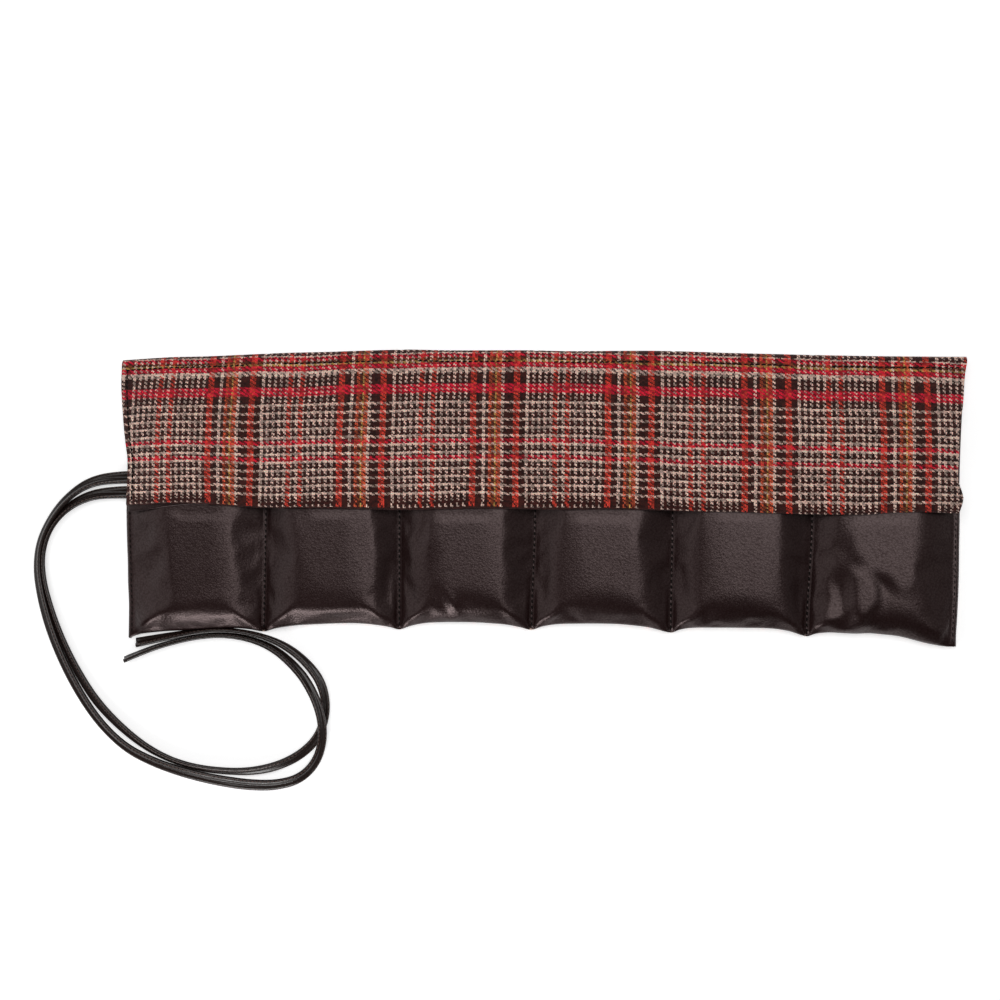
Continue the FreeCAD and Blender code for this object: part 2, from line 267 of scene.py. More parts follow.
# How the roll lies on the table, from its cut shape. Tables run along the roll, in millimetres: the bottom edge, which
# the pockets' swelling draws in between the seams, the fold, and the hem.
BOTTOM_EDGE = {
    -225: -7.2, -220: -5.2, -215: -4.4, -205: -3.3, -195: -2.7, -185: -2.1, -175: -1.4, -165: -1.1, -158: -1.6,
    -150: -2.7, -146: -1.5, -140: -0.3, -132: 0.8, -122: 1.5, -112: 2.1, -102: 2.4, -94: 2.2, -86: 1.4, -80: 0.5,
    -75: -0.7, -70: 0.9, -62: 2.7, -54: 3.4, -38: 3.7, -30: 3.6, -22: 3.2, -14: 2.6, -6: 1.2, 0: 0.0, 6: 1.9,
    14: 3.2, 24: 3.6, 36: 3.8, 47: 3.6, 56: 2.9, 64: 1.9, 75: -0.6, 80: 1.0, 86: 2.0, 96: 2.3, 120: 2.4, 131: 2.2,
    140: 1.0, 150: -1.7, 154: -0.4, 161: 0.5, 168: 0.2, 175: 0.0, 182: 0.3, 189: -0.3, 196: -1.0, 203: -2.7,
    210: -4.6, 217: -5.9, 221: -6.3, 225: -6.2,
}
FOLD_EDGE = {
    -233: -3.6, -206: -1.9, -184: -1.4, -162: -0.5, -140: 0.4, -117: 0.9, -94: 1.6, -71: 2.1, -49: 1.6, -4: 1.5,
    18: 1.0, 61: 1.1, 83: 0.6, 105: -0.2, 127: -0.8, 149: -1.4, 189: -2.2, 233: -2.6,
}
HEM_LIFTS = {
    -228: 3.0, -205: 3.9, -188: 3.6, -165: 1.9, -150: 1.2, -112: 1.3, -75: 1.1, -37: 1.5, 0: 1.25, 37: 1.6, 75: 1.2,
    112: 0.7, 150: -0.1, 176: -0.4, 190: 0.8, 206: 1.2, 225: 0.8,
}

# How far each seam leans at its bottom, and how far the two ends lean, by share of the way from the bottom to the hem;
# at 2 they meet the fold.
SEAM_LEANS = [-0.2, 0.5, -1.5, -0.7, -2.8]
LEFT_LEANS = {0: -1.9, 0.19: -2.0, 0.37: -2.7, 0.56: -3.1, 0.74: -3.7, 1: -4.3, 1.33: -4.2, 1.6: -5.0, 2: -7.0}
RIGHT_LEANS = {0: 1.0, 0.08: 1.4, 0.3: 2.15, 0.51: 2.6, 0.73: 2.8, 1: 3.1, 1.2: 2.95, 1.57: 4.0, 2: 6.0}

# Folds in the pockets' leather, in millimetres: middle, half length, half width, turn in degrees, and height.
LEATHER_FOLDS = [
    (-206, -22, 16, 4.0, 86, 0.5),
    (-196, -34, 18, 5.0, 95, 0.4),
    (-203, -68, 24, 4.5, 12, 0.9),
    (-86, -34, 24, 4.5, 92, 0.8),
    (-134, -22, 10, 6.0, 80, 0.5),
    (-115, -66, 26, 4.0, 3, 0.7),
    (-68, -30, 26, 4.0, 90, 0.6),
    (-57, -28, 14, 3.5, 78, 0.5),
    (-44.5, -61.5, 6, 2.4, 122, 1.3),
    (-50, -59, 6, 2.6, 120, -0.9),
    (12, -40, 24, 6.0, 88, 0.5),
    (52, -26, 14, 5.0, 100, 0.4),
    (84, -36, 22, 3.5, 91, 0.5),
    (90, -66, 4, 1.8, 115, 0.5),
    (177, -58, 14, 3.8, 88, 2.6),
    (166, -55, 13, 3.8, 92, -2.2),
    (187, -57, 12, 4.0, 90, -1.2),
    (186, -35, 20, 6.5, -40, 1.6),
    (181, -45, 15, 4.0, -40, -1.4),
    (206, -26, 16, 7.0, 70, 0.6),
    (157, -67, 8, 3.0, 60, 0.8),
]

# Routes of the two ties, in millimetres: those of the part's source, with points moved and added by hand so that the
# ties lie side by side. A point without a height lies TIE_HEIGHT over the table.
TIE_HEIGHT = 1.5
TIE_UPPER_ROUTE = [
    (-224.0, 6.8), (-238.9, 6.6), (-252.6, 3.2), (-264.4, -5.5), (-273.0, -16.4), (-279.3, -30.3), (-280.5, -44.8),
    (-278.1, -59.2), (-274.1, -73.4), (-269.3, -86.2), (-262.8, -99.9), (-255.7, -112.4), (-247.8, -124.1),
    (-238.4, -135.0), (-226.8, -144.7), (-213.6, -151.1), (-200.1, -155.8), (-185.6, -159.5), (-170.9, -162.1),
    (-157.4, -163.6), (-142.6, -163.5), (-128.5, -159.6), (-118.9, -149.1, 3.4), (-115.4, -135.0, 5.6),
    (-117.9, -120.6, 5.6), (-124.4, -107.7, 3.6), (-133.4, -96.7, 1.8), (-144.7, -87.6), (-158.4, -82.6),
    (-172.8, -80.8), (-187.1, -81.9), (-201.9, -85.2), (-215.8, -89.6), (-228.9, -95.2),
]
TIE_LOWER_ROUTE = [
    (-224.0, -1.7), (-239.2, -1.7), (-252.8, -4.2), (-265.7, -11.9), (-274.4, -23.9), (-277.8, -38.0),
    (-276.4, -52.2), (-272.4, -65.8), (-267.3, -79.5), (-260.9, -93.3), (-254.0, -105.6), (-245.7, -117.7),
    (-236.0, -127.9), (-224.3, -137.8), (-212.1, -145.8), (-198.4, -151.6), (-184.8, -154.9), (-169.7, -156.2),
    (-155.8, -156.0), (-141.5, -152.9), (-128.1, -146.2), (-118.5, -136.1), (-114.6, -121.5), (-117.2, -106.9),
    (-125.4, -95.8), (-136.8, -86.8), (-150.2, -81.3), (-164.8, -78.5), (-179.5, -78.1), (-193.4, -80.0),
    (-208.3, -82.8), (-222.5, -85.7),
]

# How each tie turns over along its length, in degrees from flat, and how wide it is, at shares of its length.
TIE_UPPER_TURNS = {0.0: 3, 0.04: 23, 0.08: 43, 0.12: 52, 0.16: 48, 0.2: 40, 0.24: 34, 0.32: 35, 0.4: 40, 0.48: 32,
                   0.52: 25, 0.56: 12, 0.6: 20, 0.65: 26, 0.69: 14, 0.74: 26, 0.8: 62, 0.84: 76, 0.88: 80, 0.92: 76,
                   1.0: 68}
TIE_LOWER_TURNS = {0.0: 3, 0.04: 25, 0.08: 41, 0.12: 52, 0.16: 54, 0.24: 51, 0.28: 46, 0.32: 38, 0.36: 36, 0.4: 43,
                   0.48: 60, 0.56: 57, 0.62: 40, 0.68: 12, 0.72: 14, 0.78: 60, 0.84: 82, 0.88: 84, 0.92: 77, 0.96: 60,
                   1.0: 41}
TIE_WIDTHS = {0.0: 1.16, 0.05: 1.06, 0.1: 1.0, 0.6: 1.0, 0.68: 0.78, 0.72: 0.78, 0.8: 1.0, 1.0: 1.0}

# A tie's outline, as shares of its half width and half thickness: two turned edges with a groove between them.
TIE_OUTLINE = [
    (1.0, 0.0), (0.97, 0.42), (0.88, 0.76), (0.72, 0.97), (0.52, 1.0), (0.32, 0.84), (0.14, 0.55), (0.0, 0.42),
    (-0.14, 0.55), (-0.32, 0.84), (-0.52, 1.0), (-0.72, 0.97), (-0.88, 0.76), (-0.97, 0.42), (-1.0, 0.0),
    (-0.97, -0.42), (-0.88, -0.76), (-0.6, -0.97), (0.0, -0.9), (0.6, -0.97), (0.88, -0.76), (0.97, -0.42),
]

# The tweed's yarns: first yarn of each stripe in a repeat, its colour's name, and 1 where it is woven close and covers
# the yarns that cross it. A plain stripe has no colour. The warp jumps on in the selvage, past the left end, and stops
# showing a few yarns past the hem's edge. Yarns sway at three scales, each with its reach.
WARP_REPEAT = 88
WARP_STRIPES = [
    (0, "orange_red", 1), (4, "dark", 0), (8, "cream", 1), (10, None, 0), (12, "orange", 1), (14, "rust", 0),
    (16, "mustard", 1), (17, "orange", 1), (20, "cream", 0), (22, "dark", 0), (28, "orange_red", 1), (32, "dark", 0),
    (36, "cream", 1), (38, None, 0), (54, "orange_red", 0), (57, None, 0), (62, "orange_red", 0), (65, None, 0),
]
WARP_START = -181.6 * MM
WEFT_REPEAT = 168
WEFT_STRIPES = [
    (0, None, 0), (1, "crimson", 0), (5, "rust", 0), (8, "mustard", 0), (10, "crimson", 1), (15, "cream", 0),
    (20, "dark", 0), (31, "crimson", 1), (40, "dark", 0), (47, None, 0), (84, "crimson", 0), (88, None, 0),
    (100, "crimson", 0), (104, None, 0), (143, "dark", 0), (156, None, 0),
]
HEM_WEFT = 143
HEM_WARP_END = 7.5
SELVAGE = 3.2 * MM
SELVAGE_WARP = 40.0
YARN_SWAYS = ((5200.0, 1.3 * MM), (900.0, 0.9 * MM), (28.0, 1.7 * MM))

# How far the weave has dropped from the fold, at places along the roll, and how much further it drops at the ends.
WEAVE_DROPS = {-225: 3.0, -132: 3.0, -62: 1.5, 12: 1.6, 87: 3.8, 202: 5.5, 232: 5.8}
WEAVE_SLACK = 2.4 * MM

# How far the flap stands out past the left and the right end, by share of the way from the hem to the fold.
LEFT_OVERHANG = {0: 2.2, 0.2: 1.6, 0.33: 1.6, 0.45: 3.2, 0.66: 5.6, 0.85: 7.1, 1: 7.2}
RIGHT_OVERHANG = {0: 1.2, 0.11: 3.5, 0.19: 1.5, 0.24: 0.6, 0.42: 1.4, 0.6: 2.2, 0.71: 3.8, 0.92: 5.3, 1: 6.5}

# Flap.
FLAP_CROWN = FLAP_TOP + 0.3 * MM  # its highest place
FLAP_SLOPE = FOLD_LINE - MOUTH - 6 * MM  # the way over which it rises from the fold
BEND_START, BEND_END = 0.8, 1.2  # shares of that way between which it bends level
DROOP_REACH, DROOP = 22 * MM, 0.9 * MM  # how far in from an end it droops, and how much
DIP_POWER = 3.5  # how sharply it dips over a seam
FLAP_RIPPLE = (0.45 * MM, 38, 22, 3.7)  # rise, how fast it changes along and up the flap, and layer
HEM_RIPPLE = (0.9 * MM, 21, 30, 8.1)
HEM_RADIUS, HEM_TURN = 1.3 * MM, 8.0 * MM  # bend of the turned hem, and how far it goes back
CREASE_TURN = 0.5  # the lowest angle on the fold that a strip over a seam reaches
LINING_SPARE = 0.3 * MM  # how far a strip's lining goes past its tweed, and a pocket's stays back from it

# Pockets and seams. Rows and steps, the bends and the ridges are in millimetres.
END_SEWN, SEAM_SEWN = 3.4 * MM, 1.3 * MM  # how far in from an end and from a seam the leather is sewn down
EDGE_RISE = 0.9 * MM  # how high the leather is along its edges
EDGE_BEND, SWELL_BEND = 6, 15  # how far the bottom edge bends, and how much further where a pocket is full
CORNER_RIDGE = (13, 8, 3.2, 38)  # middle, half length, half width, and turn in degrees
RIDGE_RISES = (1.5, 1.1)  # at a pocket's left and right corner
RIM_WIDTH, RIM_CLEAR, RIM_FOOT = 1.2 * MM, 2.2 * MM, 1.5 * MM  # the rounded rim at an end
RIM_STEPS = [0.15, 0.45, 0.9, 1.6]
TURNED_ROWS = [(1.3, 1.0), (0.5, 1.15), (0.12, 1.7), (0.0, 2.5)]  # the bottom edge: how far in and how high
CLOSE_ROWS = [0.12, 0.4, 0.8, 1.3, 2.0, 2.9, 4.0, 5.2, 6.6, 8.2, 10.0, 12.0, 14.0]  # the face's first rows
SEAM_FOOT = [(2.0, 1.0), (1.2, 1.2), (0.7, 1.9)]  # a seam's end: how far in and how high
STRIP_THICKNESS = 0.7 * MM  # leather of the seams and of the lining's edge
DRAPE_SETTINGS = dict(
    quality=7, mass=0.25, tension_stiffness=18, compression_stiffness=18, shear_stiffness=8, bending_stiffness=1.2,
    shrink_min=-0.004, use_pressure=True, uniform_pressure_force=0.35, vertex_group_mass="sewn",
)
DRAPE_FRAMES = 18
DRAPE_REACH = 3 * MM  # the furthest that a point of the leather may move

# Thread.
STITCH_TURN = math.radians(7)  # how far a stitch is turned from its row
STITCH_HEIGHT = 0.42  # as a share of its width
LONG_STITCH = dict(length=2.8 * MM, width=1.0 * MM)  # beside the fold
FOLD_STITCH_DROP = 3.2 * MM  # how far below the fold those are
TIE_STITCH = 2.3 * MM  # pitch of the stitches in the ties' finish

# Looks and stage.
LEATHER_SHINE = (1.0, 0.77, 0.76, 1.0)
WHITE_FROM, WHITE_ALL = 0.45, 1.0  # how far off the floor starts to be white, and is all white
CAMERA_PLACE = (57.69 * MM, -36.99 * MM, 896.1 * MM)
CAMERA_TURNS = (2.085, 4.914, 0.484)  # in degrees


def length_property(label, meaning, default, precision=4):
    """A length that a user can change."""
    return FloatProperty(name=label, description=meaning, default=default, unit="LENGTH", precision=precision)


def power_property(label, meaning, default):
    """The power of a lamp, which a user can change."""
    return FloatProperty(name=label, description=meaning, default=default, unit="POWER")


def colour_property(label, meaning, default):
    """A colour that a user can change."""
    return FloatVectorProperty(
        name=label, description=meaning, subtype="COLOR", size=3, min=0, max=1, default=default
    )


class WatchRollSizes(bpy.types.PropertyGroup):
    """Sizes of the soft pieces and the thread"""

    stitch_pitch: length_property("Stitch pitch", "From one stitch to the next", 3.1 * MM)
    stitch_length: length_property("Stitch length", "Thread that shows of one stitch", 2.2 * MM)
    thread_width: length_property("Thread width", "Thickness of the sewing thread", 0.6 * MM)
    leather_thickness: length_property("Leather", "Thickness of the pockets' leather", 0.96 * MM)
    tweed_thickness: length_property("Tweed", "Thickness of the tweed", 1.2 * MM)
    lining_thickness: length_property("Lining", "Thickness of the lining", LINING_TOP - FELT_TOP)
    pocket_rise: length_property(
        "Pocket rise", "How far a pocket's leather swells above the lining", POCKET_TOP - LINING_TOP - 0.5 * MM
    )
    flap_dip: length_property("Flap dip", "How far the flap sinks over a divider seam", 3.2 * MM)
    warp_pitch: length_property("Warp pitch", "From one warp yarn to the next", 0.8325 * MM, precision=6)
    weft_pitch: length_property("Weft pitch", "From one weft yarn to the next", 0.577 * MM, precision=6)
    tie_width: length_property("Tie width", "Width of a tie", 6.4 * MM)
    tie_thickness: length_property("Tie thickness", "Thickness of a tie", 2.3 * MM)


class WatchRollColours(bpy.types.PropertyGroup):
    """Colours of the yarns, the leathers, the felt and the thread"""

    cream: colour_property("Cream yarn", "Pale yarn of the ground", (0.95, 0.67, 0.56))
    dark: colour_property("Dark yarn", "Dark yarn of the ground", (0.054, 0.0095, 0.0070))
    orange_red: colour_property("Orange red yarn", "Red stripes along the warp", (0.74, 0.058, 0.034))
    crimson: colour_property("Crimson yarn", "Red stripes along the weft", (0.84, 0.012, 0.044))
    orange: colour_property("Orange yarn", "Orange stripes along the warp", (0.72, 0.110, 0.046))
    mustard: colour_property("Mustard yarn", "Yellow stripes", (0.66, 0.38, 0.10))
    rust: colour_property("Rust yarn", "Brown stripes", (0.24, 0.050, 0.016))
    leather: colour_property("Pocket leather", "Leather of the pockets", (0.0125, 0.0047, 0.0045))
    lining: colour_property("Lining leather", "Leather behind the pockets and under the flap", (0.0125, 0.0052, 0.0050))
    tie: colour_property("Tie leather", "Leather of the ties", (0.0150, 0.0085, 0.0070))
    felt: colour_property("Felt", "Felt between the tweed and the lining", (0.10, 0.085, 0.075))
    thread: colour_property("Thread", "Thread of the seams, the ends and the fold", (0.006, 0.0045, 0.004))
    pale_thread: colour_property("Pale thread", "Thread of the lining's edge", (0.75, 0.70, 0.66))
    floor: colour_property("Floor", "Floor of the stage", (0.86, 0.86, 0.86))


class WatchRollStage(bpy.types.PropertyGroup):
    """Camera and light"""

    lens: FloatProperty(
        name="Lens", description="Focal length of the camera, in millimetres", default=58.777, unit="CAMERA"
    )
    overhead_power: power_property("Overhead light", "Power of the soft light over the table", 18.8)
    left_power: power_property("Left light", "Power of the wide light at the left", 4.5)
    right_power: power_property("Right light", "Power of the wide light at the right", 1.2)
    side_power: power_property("Side light", "Power of the soft light at the lower left", 0.75)
    fill_strength: FloatProperty(
        name="Fill", description="Strength of the light from all round", default=0.06, min=0
    )
    floor_lift: FloatProperty(
        name="Floor lift", description="How much the camera sees the floor brighter than it is lit", default=0.55, min=0
    )


def sizes():
    """The sizes as they are set now."""
    return bpy.context.scene.watch_roll_sizes


def colours():
    """The colours as they are set now."""
    return bpy.context.scene.watch_roll_colours


# ---- Numbers ----


def clamp(share):
    """A share kept between 0 and 1."""
    return min(1.0, max(0.0, share))


def smooth(share):
    """An even start and end between 0 and 1."""
    share = clamp(share)
    return share * share * (3 - 2 * share)


def spread(low, high, count):
    """Evenly spaced marks from low to high."""
    return [float(mark) for mark in np.linspace(low, high, count)]


def straight(table, place):
    """A straight line from each of a table's values to the next, at a place."""
    return float(np.interp(place, list(table), list(table.values())))


def through(table, place):
    """A smooth line through a table's values, at a place."""
    places, values = list(table), list(table.values())
    if place <= places[0] or place >= places[-1]:
        return values[0] if place <= places[0] else values[-1]
    after = next(number for number, mark in enumerate(places) if mark > place)
    slopes = [
        (values[min(n + 1, len(values) - 1)] - values[max(n - 1, 0)])
        / (places[min(n + 1, len(places) - 1)] - places[max(n - 1, 0)])
        for n in (after - 1, after)
    ]
    width = places[after] - places[after - 1]
    s = (place - places[after - 1]) / width
    return (
        values[after - 1] * (1 + 2 * s) * (1 - s) ** 2 + values[after] * s * s * (3 - 2 * s)
        + width * (slopes[0] * s * (1 - s) ** 2 - slopes[1] * s * s * (1 - s))
    )


def ways_along(points):
    """How far each point of a line is from the line's start."""
    steps = [(after - before).length for before, after in zip(points, points[1:])]
    return [0.0, *itertools.accumulate(steps)]


# ---- How the roll lies ----


def up_flap(y):
    """A place's share of the way from the hem to the fold."""
    return (y - HEM) / (FOLD_LINE - HEM)


@functools.cache
def fold_lift(x):
    """How far the fold lies past its cut line at a place along the roll."""
    return through(FOLD_EDGE, x / MM) * MM


@functools.cache
def bottom_edge(x):
    """The roll's bottom edge, drawn in between the seams."""
    return BOTTOM + through(BOTTOM_EDGE, x / MM) * MM


@functools.cache
def line_leans(way):
    """How far the two ends and the seams between them lean, in millimetres, at a share of the way up the panel."""
    down = smooth(1 - way)
    return [through(LEFT_LEANS, way), *(lean * down for lean in SEAM_LEANS), through(RIGHT_LEANS, way)]


def settle(bm, panel=True):
    """Moves a piece's points from the roll's cut shape to how the roll lies; the ends lean on all but the flap."""
    for point in bm.verts:
        x, y = point.co.x, point.co.y
        share = up_flap(y)
        point.co.y += fold_lift(x) * clamp(share)
        if panel:
            way = (y - BOTTOM) / (HEM - BOTTOM) if y < HEM else 1 + share
            point.co.x += float(np.interp(x, LINES, line_leans(round(way, 3)))) * MM


def across_pocket(x):
    """Where a place is between its pocket's two sides, from -1 to 1."""
    number = 1 + sum(x > line for line in LINES[1:-1])
    left, right = LINES[number - 1], LINES[number]
    return max(-1.0, min(1.0, (2 * x - left - right) / (right - left)))


def seam_room(height):
    """How far from a seam a face at this height stays, so that the seam can fold."""
    return max(0.0, height - SEAM_AXIS) * ROLL_LEAN + 0.15 * MM


def panel_sides(number, clear):
    """Left and right side of a panel, clear of its seams."""
    left = LINES[number - 1] + (clear if number > 1 else 0)
    right = LINES[number] - (clear if number <= SEAM_COUNT else 0)
    return left, right


# ---- Mesh helpers ----


def cloth_grid(columns, rows, place, flat=None):
    """A grid with these column and row marks, each point put where place says, and unrolled where flat says."""
    bm = bmesh.new()
    bmesh.ops.create_grid(bm, x_segments=len(columns) - 1, y_segments=len(rows) - 1, size=1)
    marks = {}
    for point in bm.verts:
        column = columns[round((point.co.x + 1) / 2 * (len(columns) - 1))]
        row = rows[round((point.co.y + 1) / 2 * (len(rows) - 1))]
        marks[point] = (column, row)
        point.co = place(column, row)
    if flat:
        unrolled = bm.loops.layers.uv.new("weave")
        for face in bm.faces:
            for corner in face.loops:
                corner[unrolled].uv = flat(*marks[corner.vert])
    return bm


def thicken(bm, thickness):
    """Gives a sheet its thickness under the face that it shows, with a sharp rim."""
    bm.normal_update()
    rim = [edge for edge in bm.edges if edge.is_boundary]
    bmesh.ops.solidify(bm, geom=bm.faces[:], thickness=thickness)
    for edge in rim:
        edge.smooth = False


def face_down(bm):
    """Turns all faces of a sheet the same way, with its face down."""
    bmesh.ops.recalc_face_normals(bm, faces=bm.faces[:])
    if sum(face.normal.z for face in bm.faces) > 0:
        bmesh.ops.reverse_faces(bm, faces=bm.faces[:])


def finish_piece(name, bm, finish, smooth_faces=True):
    """Makes an object of a finished mesh, in one of the shared finishes."""
    for face in bm.faces:
        face.smooth = smooth_faces
    mesh = bpy.data.meshes.new(name)
    bm.to_mesh(mesh)
    bm.free()
    piece = bpy.data.objects.new(name, mesh)
    bpy.context.scene.collection.objects.link(piece)
    mesh.materials.append(stock(finish))
    return piece


def sew(bm, row, length=None, width=None):
    """Sews stitches through a row of points; each lies along the row, askew and pressed into the surface."""
    length = length or sizes().stitch_length
    width = width or sizes().thread_width
    pitch = sizes().stitch_pitch
    path = [Vector(point) for point in row]
    ways = ways_along(path)
    askew = Matrix.Rotation(STITCH_TURN, 4, "Z")
    size = Matrix.Diagonal((length / 2, width / 2, width * STITCH_HEIGHT, 1))
    for number in range(int(ways[-1] / pitch)):
        middle = (number + 0.5) * pitch
        start, end = (
            Vector([float(np.interp(middle + half * length / 2, ways, values)) for values in zip(*path)])
            for half in (-1, 1)
        )
        along = (end - start).normalized()
        side = UP.cross(along).normalized()
        turn = Matrix((along, side, along.cross(side))).transposed().to_4x4()
        place = Matrix.Translation((start + end) / 2) @ turn @ askew @ size
        bmesh.ops.create_uvsphere(bm, u_segments=8, v_segments=5, radius=1, matrix=place)


# ---- Finishes ----


class Nodes:
    """A node tree, built one node at a time."""

    def __init__(self, tree):
        self.tree = tree

    def feed(self, socket, value):
        """Links a socket to another node, or sets it."""
        if isinstance(value, bpy.types.NodeSocket):
            self.tree.links.new(value, socket)
        elif value is not None:
            socket.default_value = value

    def node(self, kind, inputs=None, output=0, **settings):
        """Adds a node, feeds its inputs by name or number, and gives one of its outputs if it has any."""
        made = self.tree.nodes.new(kind)
        for name, value in settings.items():
            setattr(made, name, value)
        for name, value in (inputs or {}).items():
            self.feed(made.inputs[name], value)
        return made.outputs[output] if made.outputs else None

    def maths(self, operation, *values):
        """A sum or comparison of one, two or three values."""
        return self.node("ShaderNodeMath", dict(enumerate(values)), operation=operation)

    plus = functools.partialmethod(maths, "ADD")
    minus = functools.partialmethod(maths, "SUBTRACT")
    times = functools.partialmethod(maths, "MULTIPLY")
    over = functools.partialmethod(maths, "DIVIDE")
    modulo = functools.partialmethod(maths, "FLOORED_MODULO")
    below = functools.partialmethod(maths, "LESS_THAN")
    above = functools.partialmethod(maths, "GREATER_THAN")
    most = functools.partialmethod(maths, "MAXIMUM")
    floor = functools.partialmethod(maths, "FLOOR")
    fract = functools.partialmethod(maths, "FRACT")
    size = functools.partialmethod(maths, "ABSOLUTE")

    def near(self, value, middle, reach):
        """1 where a value is less than a reach away from a middle one, else 0."""
        return self.below(self.size(self.minus(value, middle)), reach)

    def vector(self, operation, first, second):
        """A sum of two vectors, or one vector scaled by a number."""
        inputs = {0: first, 3 if operation == "SCALE" else 1: second}
        return self.node("ShaderNodeVectorMath", inputs, operation=operation)

    def parts(self, vector):
        """A vector's three values."""
        return self.node("ShaderNodeSeparateXYZ", {0: vector}).node.outputs

    def mix(self, share, first, second, blend_type="MIX"):
        """One colour over another."""
        inputs = {0: share, 6: first, 7: second}
        return self.node("ShaderNodeMix", inputs, output=2, data_type="RGBA", blend_type=blend_type)

    def object_place(self):
        """Where a point is on the piece."""
        return self.node("ShaderNodeTexCoord", output="Object")

    def weave_place(self):
        """Where a point is on the unrolled piece."""
        return self.node("ShaderNodeUVMap", uv_map="weave")

    def speckle(self, vector, scale, detail=2.0, roughness=0.5, output=0):
        """Soft noise from 0 to 1: output 0 is one value, and output 1 is three."""
        inputs = {"Vector": vector, "Scale": scale, "Detail": detail, "Roughness": roughness}
        return self.node("ShaderNodeTexNoise", inputs, output)

    def bump(self, height, distance, strength, under=None):
        """Relief from a height, over other relief."""
        inputs = {"Height": height, "Distance": distance, "Strength": strength, "Normal": under}
        return self.node("ShaderNodeBump", inputs)


class Finish(Nodes):
    """A material with one shader."""

    def __init__(self, name, roughness):
        self.material = bpy.data.materials.new(name)
        self.material.use_nodes = True
        super().__init__(self.material.node_tree)
        self.shader = self.tree.nodes["Principled BSDF"]
        self.set(Roughness=roughness)

    def set(self, **values):
        """Sets the shader's sockets; an underscore stands for a space."""
        for name, value in values.items():
            self.feed(self.shader.inputs[name.replace("_", " ")], value)


def tint(colour, strength=1.0):
    """A colour made weaker or stronger, which covers what is under it."""
    return (*(min(1.0, part * strength) for part in colour), 1.0)


def yarn_stripes(finish, yarn, repeat, stripes):
    """The colour of a yarn by its number, whether it belongs to a coloured stripe, and whether that is woven close."""
    share = finish.plus(finish.over(finish.modulo(yarn, repeat), repeat), 0.5 / repeat)
    ramp = finish.node("ShaderNodeValToRGB", {0: share}).node
    ramp.color_ramp.interpolation = "CONSTANT"
    marks = ramp.color_ramp.elements
    while len(marks) < len(stripes):
        marks.new(1.0)
    for mark, (first, name, close) in zip(marks, stripes):
        mark.position = max(0.0, first - 0.25) / repeat
        mark.color = (*getattr(colours(), name), 0.5 + 0.5 * close) if name else (0, 0, 0, 0)
    colour, cover = ramp.outputs
    return colour, finish.above(cover, 0.25), finish.above(cover, 0.75)


